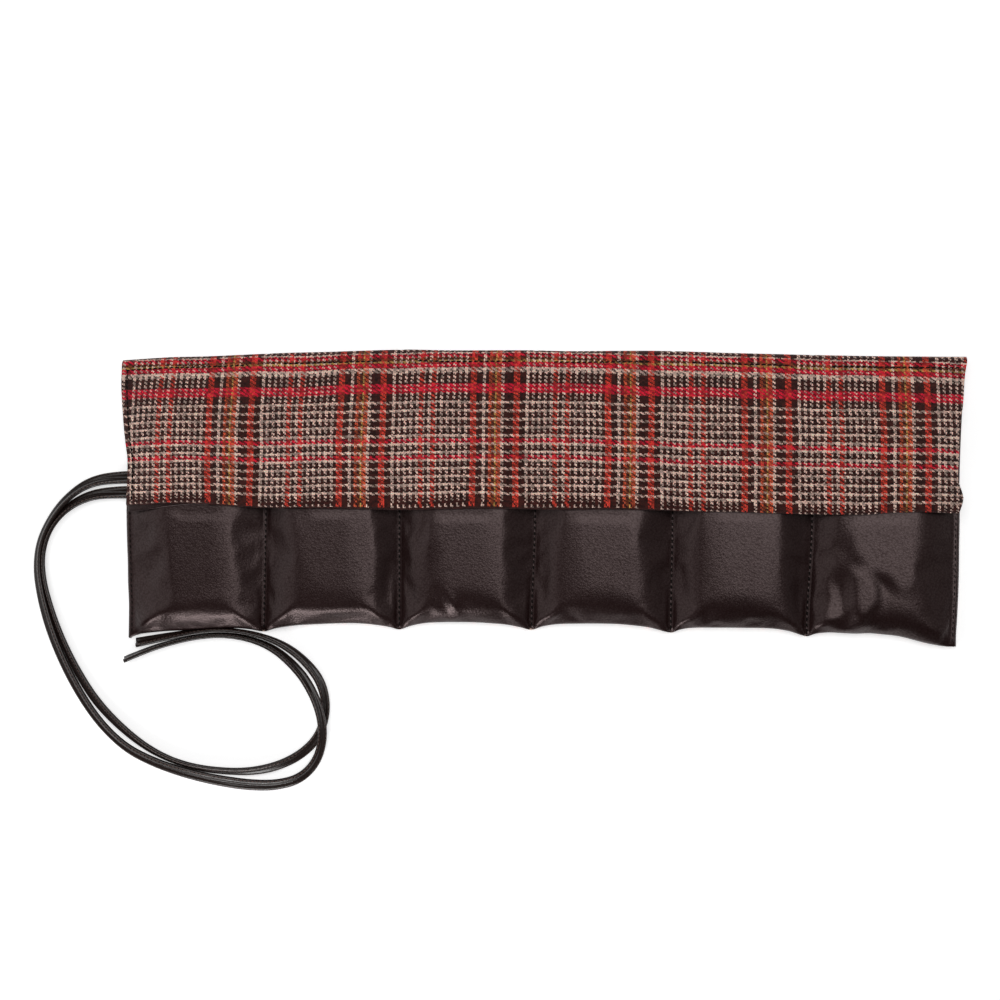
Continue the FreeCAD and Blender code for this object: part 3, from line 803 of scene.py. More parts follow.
def tweed_finish(name):
    """Woollen twill in a glen check: two yarns over and two under, in cream and dark with red and orange stripes."""
    finish = Finish(name, 0.92)
    weave = finish.weave_place()
    moved = weave
    for scale, reach in YARN_SWAYS:
        sway = finish.vector("SUBTRACT", finish.speckle(weave, scale, 1.0, output=1), (0.5, 0.5, 0.5))
        moved = finish.vector("ADD", moved, finish.vector("SCALE", sway, reach))
    across, along, _ = finish.parts(moved)
    selvage = finish.below(across, LEFT_END - SELVAGE)
    warp_place = finish.over(finish.minus(across, WARP_START), sizes().warp_pitch)
    warp_place = finish.plus(warp_place, finish.times(selvage, SELVAGE_WARP))
    weft_place = finish.over(along, sizes().weft_pitch)
    warp, weft = finish.floor(warp_place), finish.floor(weft_place)

    # Colours of the yarns: two pale and two dark ones in turn, but for the stripes.
    cream, dark = tint(colours().cream), tint(colours().dark)
    pale_warp = finish.below(finish.modulo(warp, 4.0), 1.5)
    pale_weft = finish.below(finish.modulo(weft_place, 8.0), 2.6)
    stripe, striped, close_warp = yarn_stripes(finish, warp, WARP_REPEAT, WARP_STRIPES)
    warp_colour = finish.mix(striped, finish.mix(pale_warp, dark, cream), stripe)
    stripe, striped, close_weft = yarn_stripes(finish, weft, WEFT_REPEAT, WEFT_STRIPES)
    weft_colour = finish.mix(striped, finish.mix(pale_weft, dark, cream), stripe)

    # Which yarn is on top: the twill moves on by one warp yarn with each weft yarn, and more slowly at the hem.
    lag = finish.minus(1.0, finish.times(finish.above(weft, HEM_WEFT), 0.6))
    more = finish.times(finish.minus(close_warp, close_weft), 0.8)
    step = finish.plus(finish.minus(warp, finish.times(weft_place, lag)), 1.0)
    step = finish.modulo(finish.plus(finish.times(more, 0.5), step), 4.0)
    slim = finish.near(finish.fract(warp_place), 0.5, 0.44)
    warp_shows = finish.times(finish.below(step, finish.plus(more, 2.0)), slim)
    warp_shows = finish.times(warp_shows, finish.below(weft, HEM_WEFT + HEM_WARP_END))
    colour = finish.mix(warp_shows, weft_colour, warp_colour)

    # Round yarns, uneven and hairy.
    warp_round, weft_round = (
        finish.maths("SINE", finish.times(finish.fract(place), math.pi)) for place in (warp_place, weft_place)
    )
    under = finish.times(finish.minus(1.0, warp_shows), weft_round)
    yarn_height = finish.plus(finish.times(warp_shows, warp_round), under)
    fibres = finish.speckle(moved, 3800.0, 3.0, 0.65)
    blotches = finish.speckle(weave, 900.0)
    pair = {index: finish.floor(finish.times(yarn, 0.5)) for index, yarn in enumerate((warp, weft))}
    cell = finish.node("ShaderNodeCombineXYZ", pair)
    uneven = finish.node("ShaderNodeTexWhiteNoise", {"Vector": cell}, noise_dimensions="2D")
    shade = finish.maths("MULTIPLY_ADD", yarn_height, 0.8, 0.4)
    for value, reach in ((fibres, 1.7), (blotches, 1.2), (uneven, 1.1)):
        shade = finish.times(shade, finish.plus(finish.times(value, reach), 1 - reach / 2))
    shade = finish.most(shade, 0.05)
    grey = finish.node("ShaderNodeCombineColor", {0: shade, 1: shade, 2: shade})
    relief = finish.plus(yarn_height, finish.times(fibres, 0.7))
    finish.set(
        Base_Color=finish.mix(1.0, colour, grey, "MULTIPLY"), Normal=finish.bump(relief, 0.22 * MM, 0.8),
        Sheen_Weight=0.12, Sheen_Roughness=0.5, Specular_IOR_Level=0.18,
    )
    return finish.material


def leather_finish(name, colour, roughness, grain=1.0):
    """Smooth leather with a fine pebbled grain and a satin face."""
    finish = Finish(name, roughness)
    place = finish.object_place()
    wander = finish.vector("SCALE", finish.speckle(place, 900.0, 1.0, output=1), 0.5 * MM)
    bent = finish.vector("ADD", place, wander)
    inputs = {"Vector": bent, "Scale": 980.0, "Smoothness": 0.6, "Randomness": 1.0}
    domes = finish.minus(1.0, finish.node("ShaderNodeTexVoronoi", inputs, feature="SMOOTH_F1"))
    cloudy = finish.speckle(place, 34.0, 3.0, 0.6)
    waves = finish.bump(finish.speckle(place, 150.0), 0.25 * MM, 0.25)
    finish.set(
        Base_Color=finish.mix(cloudy, tint(colour, 0.78), tint(colour, 1.25)),
        Roughness=finish.plus(finish.times(cloudy, 0.1), roughness - 0.05),
        Normal=finish.bump(domes, 0.08 * MM * grain, 0.8, waves),
        Specular_IOR_Level=finish.plus(finish.times(domes, 0.48), 0.3), Specular_Tint=LEATHER_SHINE,
    )
    return finish.material


def tie_finish(name):
    """Glossy strap leather, with a row of fine stitches along both edges."""
    finish = Finish(name, 0.34)
    along, aside, _ = finish.parts(finish.weave_place())
    dash = finish.near(finish.fract(finish.over(along, TIE_STITCH)), 0.5, 0.3)
    thread = finish.times(dash, finish.near(finish.size(aside), 0.74, 0.085))
    place = finish.object_place()
    grain = finish.node("ShaderNodeTexVoronoi", {"Vector": place, "Scale": 1700.0})
    cloudy = finish.speckle(place, 60.0, 3.0)
    colour = colours().tie
    tone = finish.mix(cloudy, tint(colour, 0.7), tint(colour, 1.4))
    relief = finish.plus(finish.times(grain, -0.5), finish.times(thread, 1.6))
    finish.set(
        Base_Color=finish.mix(thread, tone, tint([part * 5.0 + 0.01 for part in colour])),
        Roughness=finish.plus(finish.times(cloudy, 0.12), 0.17), Normal=finish.bump(relief, 0.12 * MM, 0.6),
    )
    return finish.material


def thread_finish(name, colour):
    """Twisted thread."""
    finish = Finish(name, 0.75)
    place = finish.object_place()
    inputs = {"Vector": place, "Scale": 900.0, "Distortion": 2.0}
    strands = finish.node("ShaderNodeTexWave", inputs, output=1, bands_direction="DIAGONAL")
    tone = finish.mix(strands, tint(colour, 0.6), tint(colour, 1.5))
    fibres = finish.times(finish.speckle(place, 2600.0), 0.4)
    finish.set(
        Base_Color=finish.mix(fibres, tone, tint(colour)), Normal=finish.bump(strands, 0.1 * MM, 0.7),
        Specular_IOR_Level=0.15,
    )
    return finish.material


def felt_finish(name):
    """Grey wool felt."""
    finish = Finish(name, 0.95)
    place = finish.object_place()
    fibres = finish.speckle(place, 1500.0, 4.0, 0.7)
    tufts = finish.times(finish.speckle(place, 260.0, 3.0), 0.35)
    colour = colours().felt
    tone = finish.mix(fibres, tint(colour, 0.6), tint(colour, 1.5))
    finish.set(
        Base_Color=finish.mix(tufts, tone, tint(colour, 1.2)), Normal=finish.bump(fibres, 0.3 * MM, 0.8),
        Sheen_Weight=0.2,
    )
    return finish.material


def floor_finish(name):
    """Pale paper that keeps the roll's shadow; the camera sees it brighter than it is lit, and white further off."""
    material = bpy.data.materials.new(name)
    material.use_nodes = True
    material.node_tree.nodes.clear()
    nodes = Nodes(material.node_tree)
    paper = nodes.node("ShaderNodeBsdfDiffuse", {"Color": tint(colours().floor)})
    glow = nodes.node("ShaderNodeEmission", {"Strength": bpy.context.scene.watch_roll_stage.floor_lift})
    lifted = nodes.node("ShaderNodeAddShader", {0: paper, 1: glow})
    far = nodes.node("ShaderNodeVectorMath", {0: nodes.object_place()}, output="Value", operation="LENGTH")
    inputs = {"Value": far, "From Min": WHITE_FROM, "From Max": WHITE_ALL}
    far = nodes.node("ShaderNodeMapRange", inputs, interpolation_type="SMOOTHSTEP")
    lifted = nodes.node("ShaderNodeMixShader", {0: far, 1: lifted, 2: nodes.node("ShaderNodeEmission")})
    ray = nodes.node("ShaderNodeLightPath").node.outputs
    seen = nodes.most(nodes.most(ray["Is Camera Ray"], ray["Is Glossy Ray"]), ray["Is Transmission Ray"])
    shown = nodes.node("ShaderNodeMixShader", {0: seen, 1: paper, 2: lifted})
    nodes.node("ShaderNodeOutputMaterial", {"Surface": shown})
    return material


FINISHES = {
    "woven_tweed": tweed_finish,
    "pocket_hide": lambda name: leather_finish(name, colours().leather, 0.33),
    "lining_hide": lambda name: leather_finish(name, colours().lining, 0.38, grain=0.8),
    "tie_hide": tie_finish,
    "wool_felt": felt_finish,
    "seam_thread": lambda name: thread_finish(name, colours().thread),
    "pale_thread": lambda name: thread_finish(name, colours().pale_thread),
    "floor": floor_finish,
}


def stock(name):
    """A finish that several pieces share, made once."""
    return bpy.data.materials.get(name) or FINISHES[name](name)


# ---- Flap ----


def flap_rise(y):
    """How far the flap has come up from the fold at a distance from it, from 0 to 1: straight up to a rounded bend."""
    share = max(0.0, (FOLD_LINE - y) / FLAP_SLOPE)
    if share > BEND_END:
        return 1.0
    return share - max(0.0, share - BEND_START) ** 2 / (2 * (BEND_END - BEND_START))


def ripple(x, y, rise, along, up, layer):
    """Soft waves of some rise, by how fast they change along and up the flap; each layer has its own."""
    return rise * noise.noise(Vector((x * along, y * up, layer)))


def flap_height(x, y):
    """The flap's upper face: up from the fold, over the pockets, and down a little over each seam and at the ends."""
    dip = sizes().flap_dip * abs(across_pocket(x)) ** DIP_POWER
    past_end = abs(x) - RIGHT_END
    droop = DROOP * smooth((past_end + DROOP_REACH) / DROOP_REACH) + 0.5 * max(0.0, past_end)
    return FOLD_TOP + (FLAP_CROWN - FOLD_TOP - dip - droop + ripple(x, y, *FLAP_RIPPLE)) * flap_rise(y)


def hem_shift(x, y):
    """How far the flap is pushed towards the fold, most at the hem."""
    return (straight(HEM_LIFTS, x / MM) * MM + ripple(x, y, *HEM_RIPPLE)) * clamp(1 - up_flap(y)) ** 3


def flap_overhang(line, y):
    """How far the flap stands out past one of the roll's ends."""
    return through(RIGHT_OVERHANG if line else LEFT_OVERHANG, up_flap(y)) * MM


def weave_drop(x, y):
    """How far the weave has dropped from the fold at a place."""
    slack = fold_lift(x) + WEAVE_SLACK * (x / RIGHT_END) ** 2
    return straight(WEAVE_DROPS, x / MM) * MM + slack * clamp(up_flap(y))


class FlapRow:
    """One row of the flap: its place before the flap swells, and its way along the cloth from the fold's crest."""

    def __init__(self, y, drop=0.0, way=0.0, turn=None):
        self.y, self.drop, self.way, self.turn = y, drop, way, turn

    def point(self, x, inset=0.0):
        """Where the row is at a place along the roll; an inset goes under the face."""
        if self.turn is not None:
            radius = FOLD_RADIUS - inset
            return Vector((x, FOLD_LINE + radius * math.cos(self.turn), FOLD_RADIUS + radius * math.sin(self.turn)))
        return Vector((x, self.y + hem_shift(x, self.y), flap_height(x, max(self.y, HEM)) - self.drop - inset))

    def height(self):
        """A height that the row stays under wherever it is."""
        if self.turn is not None:
            return FOLD_RADIUS + FOLD_RADIUS * math.sin(self.turn)
        return FOLD_TOP + (FLAP_TOP - FOLD_TOP) * flap_rise(self.y)


def flap_rows():
    """The flap's rows, from the turned hem over the pockets and round the fold to the back."""
    quarter = FOLD_RADIUS * math.pi / 2
    hem_way = quarter + FOLD_LINE - HEM
    rows = [
        FlapRow(HEM + HEM_RADIUS + back, 2 * HEM_RADIUS, hem_way + math.pi * HEM_RADIUS + back)
        for back in spread(HEM_TURN, 0.0, 4)
    ]
    for bend in spread(0, math.pi, 6)[1:-1]:
        y, drop = HEM + HEM_RADIUS * (1 - math.sin(bend)), HEM_RADIUS * (1 + math.cos(bend))
        rows.append(FlapRow(y, drop, hem_way + HEM_RADIUS * (math.pi - bend)))
    rows += [FlapRow(y, way=quarter + FOLD_LINE - y) for y in spread(HEM + HEM_RADIUS, FOLD_LINE, 44)]
    turns = spread(math.pi / 2, -math.pi / 2, 13)[1:]
    return rows + [FlapRow(FOLD_LINE, way=FOLD_RADIUS * turn, turn=turn) for turn in turns]


def flap_side(line, row, side):
    """The side of a flap piece at a seam or an end, on one row; side is the way from the line into the piece."""
    if line in (0, len(LINES) - 1):
        return LINES[line] - side * flap_overhang(line, row.y)
    return LINES[line] + side * seam_room(row.height())


def flap_sides(number, inset=0.0):
    """Finds the two sides, on any row, of the flap's piece over a pocket, drawn in by an inset."""
    return lambda row: (flap_side(number - 1, row, 1) + inset, flap_side(number, row, -1) - inset)


def crease_sides(number, spare=0.0):
    """Finds the two sides, on any row, of the flap's strip over a seam, with something to spare."""
    return lambda row: (flap_side(number, row, -1) - spare, flap_side(number, row, 1) + spare)


def between(sides, row, share):
    """A place along the roll, at a share of the way between two sides on one row."""
    left, right = sides(row)
    return left + (right - left) * share


def flap_sheet(sides, count, rows, inset=0.0):
    """A sheet of the flap between two sides, which may move from row to row."""

    def place(share, row):
        return row.point(between(sides, row, share), inset)

    def flat(share, row):
        x = between(sides, row, share)
        return (x, row.way - weave_drop(x, row.y))

    return cloth_grid(spread(0, 1, count), rows, place, flat)


def cut_size(sides, rows):
    """The size that a sheet of the flap was cut to: its box, and the area inside its sides."""
    widths = [right - left for left, right in map(sides, rows)]
    ways = [row.way for row in rows]
    area = sum((a + b) / 2 * abs(v - w) for a, b, v, w in zip(widths, widths[1:], ways, ways[1:]))
    return dict(flat=(max(widths), max(ways) - min(ways)), area=area)


def fold_ends(number, low, high):
    """Where a piece starts and ends to bend round the fold: at these heights behind a pocket."""
    middle = (LINES[number - 1] + LINES[number]) / 2
    return dict(start=(middle, FOLD_LINE, low), end=(middle, FOLD_LINE, high))


def crumple(piece, number):
    """Lets a strip of the flap over a seam crumple against its left side as the seam folds."""
    anchor = LINES[number] - seam_room(FLAP_TOP) - 0.4 * MM
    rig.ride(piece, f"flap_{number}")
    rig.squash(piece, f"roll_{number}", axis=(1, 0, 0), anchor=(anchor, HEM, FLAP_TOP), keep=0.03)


def make_flap():
    """The tweed flap: a piece over each pocket that wraps round the fold, and a strip over each seam between them."""
    rows = flap_rows()
    for number in POCKETS:
        sides = flap_sides(number)
        bm = flap_sheet(sides, 30, rows)
        thicken(bm, sizes().tweed_thickness)
        settle(bm, panel=False)
        piece = finish_piece(f"flap_tweed_{number}", bm, "woven_tweed")
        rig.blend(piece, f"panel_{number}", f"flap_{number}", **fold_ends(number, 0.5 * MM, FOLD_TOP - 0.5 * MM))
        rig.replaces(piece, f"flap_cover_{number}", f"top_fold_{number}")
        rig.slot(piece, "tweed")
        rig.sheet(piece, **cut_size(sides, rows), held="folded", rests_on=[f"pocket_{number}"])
    rows = [row for row in rows if row.turn is None or row.turn > CREASE_TURN]
    for number in SEAMS:
        sides = crease_sides(number)
        bm = flap_sheet(sides, 13, rows)
        thicken(bm, sizes().tweed_thickness)
        settle(bm, panel=False)
        piece = finish_piece(f"flap_crease_tweed_{number}", bm, "woven_tweed")
        crumple(piece, number)
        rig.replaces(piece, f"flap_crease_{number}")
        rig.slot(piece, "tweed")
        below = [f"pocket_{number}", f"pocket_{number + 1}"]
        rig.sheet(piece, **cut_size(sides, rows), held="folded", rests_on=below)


def make_flap_lining():
    """The leather under the flap, which runs into the crease of the fold and joins the lining of its panel."""
    inset = sizes().tweed_thickness + 0.05 * MM + sizes().lining_thickness
    first, last = HEM + HEM_TURN - 1.5 * MM, FOLD_LINE - 2.5 * MM
    rows = [FlapRow(y, way=FOLD_LINE - y) for y in spread(first, last, 36)]
    for number in POCKETS:
        sides = flap_sides(number, LINING_SPARE)

        def place(share, mark):
            """A mark is a row of the flap, or a share of the way from the last row to the panel's lining."""
            if isinstance(mark, FlapRow):
                return mark.point(between(sides, mark, share), inset)
            x = between(sides, rows[-1], share)
            joint = Vector((x, LAYER_END - 1.5 * MM, LINING_TOP + 0.02 * MM))
            bulge = Vector((0, 1.6 * MM * math.sin(math.pi * mark), 0))
            return rows[-1].point(x, inset).lerp(joint, mark) + bulge

        bm = cloth_grid(spread(0, 1, 24), rows + spread(0, 1, 15)[1:], place)
        face_down(bm)
        settle(bm, panel=False)
        piece = finish_piece(f"flap_lining_leather_{number}", bm, "lining_hide")
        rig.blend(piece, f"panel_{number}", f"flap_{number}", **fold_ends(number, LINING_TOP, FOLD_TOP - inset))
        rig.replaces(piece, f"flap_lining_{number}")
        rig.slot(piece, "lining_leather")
        left, right = sides(rows[-1])
        flat = (right - left, LAYER_END - HEM - HEM_TURN + FOLD_TOP)
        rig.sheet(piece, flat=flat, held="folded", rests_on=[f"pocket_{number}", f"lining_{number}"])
    for number in SEAMS:
        sides = crease_sides(number, LINING_SPARE)
        bm = flap_sheet(sides, 9, rows, inset)
        face_down(bm)
        settle(bm, panel=False)
        piece = finish_piece(f"flap_crease_lining_{number}", bm, "lining_hide")
        crumple(piece, number)
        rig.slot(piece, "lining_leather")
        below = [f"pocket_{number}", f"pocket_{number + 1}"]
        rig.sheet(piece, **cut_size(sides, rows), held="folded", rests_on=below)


# ---- Back ----


def back_sheet(left, right, count, floor, thickness, ahead=0.0):
    """A flat layer of the back between two places along the roll, with its bottom edge drawn in."""

    def place(x, share):
        start = bottom_edge(x) + ahead
        return Vector((x, start + (LAYER_END - start) * share, floor + thickness))

    def flat(x, share):
        y = bottom_edge(x) + (LAYER_END - bottom_edge(x)) * share
        return (x, -FOLD_RADIUS * math.pi / 2 - (FOLD_LINE - y) - weave_drop(x, FOLD_LINE))

    bm = cloth_grid(spread(left, right, count), spread(0, 1, 40), place, flat)
    thicken(bm, thickness)
    return bm


def make_back():
    """Tweed back, felt and lining behind each pocket, flat on each other."""
    layers = [
        ("back_tweed", "back_cover", None, 0.0, CLOTH_TOP, "woven_tweed", "tweed", 0.0),
        ("felt", "padding", "back_cover", CLOTH_TOP, FELT_TOP, "wool_felt", "felt", 0.6 * MM),
        ("back_lining", "lining", "padding", FELT_TOP, LINING_TOP, "lining_hide", "lining_leather", 0.2 * MM),
    ]
    for number in POCKETS:
        for name, node, below, floor, top, finish, slot, ahead in layers:
            left, right = panel_sides(number, SEAM_HALF)
            if node == "padding":
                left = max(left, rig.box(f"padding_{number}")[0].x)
                right -= 0.8 * MM if number > SEAM_COUNT else 0
            bm = back_sheet(left, right, 24, floor, top - floor, ahead)
            settle(bm)
            piece = finish_piece(f"{name}_{number}", bm, finish, smooth_faces=False)
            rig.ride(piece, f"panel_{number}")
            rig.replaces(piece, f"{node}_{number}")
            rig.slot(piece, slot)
            rests_on = [f"{below}_{number}"] if below else []
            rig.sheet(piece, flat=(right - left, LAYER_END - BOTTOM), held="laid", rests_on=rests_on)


# ---- Pockets ----


def pocket_columns(number):
    """Places along the roll of a pocket's columns, closer together beside its seams; an end has a rounded edge."""
    left, right = panel_sides(number, 1.25 * MM)
    shares = [0.55 * math.sin(share * math.pi / 2) + 0.45 * share for share in spread(-1, 1, 49)]
    columns = [(left + right) / 2 + (right - left) / 2 * share for share in shares]
    if number == 1:
        rim = [left + step * MM for step in RIM_STEPS]
        columns = columns[:1] + rim + [x for x in columns[1:] if x > left + RIM_CLEAR]
    if number > SEAM_COUNT:
        rim = [right - step * MM for step in reversed(RIM_STEPS)]
        columns = [x for x in columns[:-1] if x < right - RIM_CLEAR] + rim + columns[-1:]
    return columns


def pocket_swell(number, x):
    """How full a pocket is at a place along it, from 0 at its sewn sides to 1."""
    left = LINES[number - 1] + (END_SEWN if number == 1 else SEAM_SEWN)
    right = LINES[number] - (END_SEWN if number > SEAM_COUNT else SEAM_SEWN)
    side = min(1.0, abs(2 * x - left - right) / (right - left))
    return max(0.0, 1 - side**2.9) ** 0.95


def turned(across, up, degrees):
    """Two distances as they are seen from a line turned by an angle: along it and aside from it."""
    angle = math.radians(degrees)
    along = across * math.cos(angle) + up * math.sin(angle)
    return along, up * math.cos(angle) - across * math.sin(angle)


def leather_folds(x, y):
    """Height that the folds in the leather add at a place."""
    height = 0.0
    for fold_x, fold_y, half_length, half_width, degrees, rise in LEATHER_FOLDS:
        along, aside = turned(x / MM - fold_x, y / MM - fold_y, degrees)
        height += rise * math.exp(-((along / half_length) ** 2) - (aside / half_width) ** 2)
    return height * MM


def corner_ridges(number, x, y):
    """Height of the ridges that run into a pocket from its two bottom corners, where the seams pull."""
    height = 0.0
    middle, half_length, half_width, degrees = CORNER_RIDGE
    for line, side, rise in zip((number - 1, number), (1, -1), RIDGE_RISES):
        across, up = side * (x - LINES[line]) / MM, (y - bottom_edge(LINES[line])) / MM
        along, aside = turned(across, up, degrees)
        height += rise * math.exp(-(((along - middle) / half_length) ** 2) - (aside / half_width) ** 2)
    return height * MM


def pocket_height(number, x, y):
    """The front of a pocket's leather before it is draped: swelling, with ridges and folds, down to its bottom edge."""
    swell = pocket_swell(number, x)
    inside = max(0.0, y - bottom_edge(x))
    reach = (EDGE_BEND + SWELL_BEND * swell) * MM
    turn = math.sqrt(1 - (1 - min(1.0, inside / reach)) ** 2.4)
    lie = 0.93 + 0.07 * math.sin(math.pi * clamp((MOUTH - y) / (MOUTH - BOTTOM)))
    height = EDGE_RISE + (sizes().pocket_rise - EDGE_RISE) * swell * lie
    relief = (leather_folds(x, y) + corner_ridges(number, x, y)) * smooth(swell * 2.2) * smooth(inside / (5 * MM))
    return LINING_TOP + 0.3 * MM + height * turn + relief


def room_over(number, x, y):
    """The highest that a pocket's leather may stand: clear of the flap, and of the next pocket when a seam folds."""
    limits = [POCKET_TOP - GAP if y > HEM - 3 * MM else POCKET_TOP + 0.4 * MM]
    if number > 1:
        limits.append(SEAM_AXIS + (x - LINES[number - 1]) / ROLL_LEAN - GAP)
    if number <= SEAM_COUNT:
        limits.append(SEAM_AXIS + (LINES[number] - x) / ROLL_LEAN - GAP)
    return max(min(limits), LINING_TOP + GAP)


def pocket_face(number, x, y):
    """Height of a pocket's leather before it is draped, as far as there is room."""
    return min(pocket_height(number, x, y), room_over(number, x, y))


def pocket_grid(number):
    """A pocket's leather front, with its bottom edge turned under."""
    far = MOUTH - BOTTOM - 4 * MM
    rows = [(inside * MM, height * MM) for inside, height in TURNED_ROWS]
    rows += [(inside * MM, None) for inside in CLOSE_ROWS] + [(inside, None) for inside in spread(16.2 * MM, far, 42)]
    columns = pocket_columns(number)
    rims = columns[:1] if number == 1 else columns[-1:] if number > SEAM_COUNT else []

    def place(x, row):
        inside, height = row
        edge = bottom_edge(x)
        if height is not None:
            return Vector((x, edge + inside, height))
        y = edge + inside + (MOUTH - edge - far) * (inside / far)
        z = pocket_face(number, x, y)
        for rim in rims:
            if abs(x - rim) < RIM_WIDTH:
                z = RIM_FOOT + (z - RIM_FOOT) * math.sqrt(1 - (1 - abs(x - rim) / RIM_WIDTH) ** 2)
        return Vector((x, y, z))

    return cloth_grid(columns, rows, place)


def drape(piece, number):
    """Lets the leather of a pocket find its own folds: sewn down all round but at the mouth, and blown up a little."""
    mesh = piece.data
    start = [point.co.copy() for point in mesh.vertices]
    held = [
        index for index, place in enumerate(start)
        if pocket_swell(number, place.x) < 0.03 or place.y - bottom_edge(place.x) < 0.5 * MM
    ]
    piece.vertex_groups.new(name="sewn").add(held, 1.0, "REPLACE")
    cloth = piece.modifiers.new("drape", "CLOTH")
    for name, value in DRAPE_SETTINGS.items():
        setattr(cloth.settings, name, value)
    cloth.settings.effector_weights.gravity = 0
    cloth.collision_settings.use_collision = False
    cloth.point_cache.frame_start, cloth.point_cache.frame_end = 1, DRAPE_FRAMES
    scene = bpy.context.scene
    for frame_number in range(1, DRAPE_FRAMES + 1):
        scene.frame_set(frame_number)
    draped = piece.evaluated_get(bpy.context.evaluated_depsgraph_get()).to_mesh()
    moved = [point.co.copy() for point in draped.vertices]
    piece.to_mesh_clear()
    piece.modifiers.remove(cloth)
    scene.frame_set(1)
    for point, before, after in zip(mesh.vertices, start, moved):
        step = after - before
        if step.length > DRAPE_REACH:
            step *= DRAPE_REACH / step.length
        place = before + step
        place.z = min(place.z, max(before.z, room_over(number, place.x, place.y)))
        point.co = place
    piece.vertex_groups.clear()


def make_pockets():
    """The leather fronts of the pockets, draped over their spaces, with thickness at the mouth."""
    for number in POCKETS:
        piece = finish_piece(f"pocket_leather_{number}", pocket_grid(number), "pocket_hide")
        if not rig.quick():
            drape(piece, number)
        bm = bmesh.new()
        bm.from_mesh(piece.data)
        inner = [point for point in bm.verts if not point.is_boundary]
        bmesh.ops.smooth_vert(bm, verts=inner, factor=0.3, use_axis_x=True, use_axis_y=True, use_axis_z=True)
        thicken(bm, sizes().leather_thickness)
        settle(bm)
        for face in bm.faces:
            face.smooth = True
        bm.to_mesh(piece.data)
        bm.free()
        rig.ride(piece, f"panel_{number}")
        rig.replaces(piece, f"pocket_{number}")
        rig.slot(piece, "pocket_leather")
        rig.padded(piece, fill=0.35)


# ---- Seams and thread ----


def seam_floor(x, line):
    """Height of the leather in the valley of a seam."""
    aside = min(1.0, abs(x - LINES[line]) / (1.3 * MM))
    return LINING_TOP + (0.2 - 0.75 * (1 - aside**1.5)) * MM


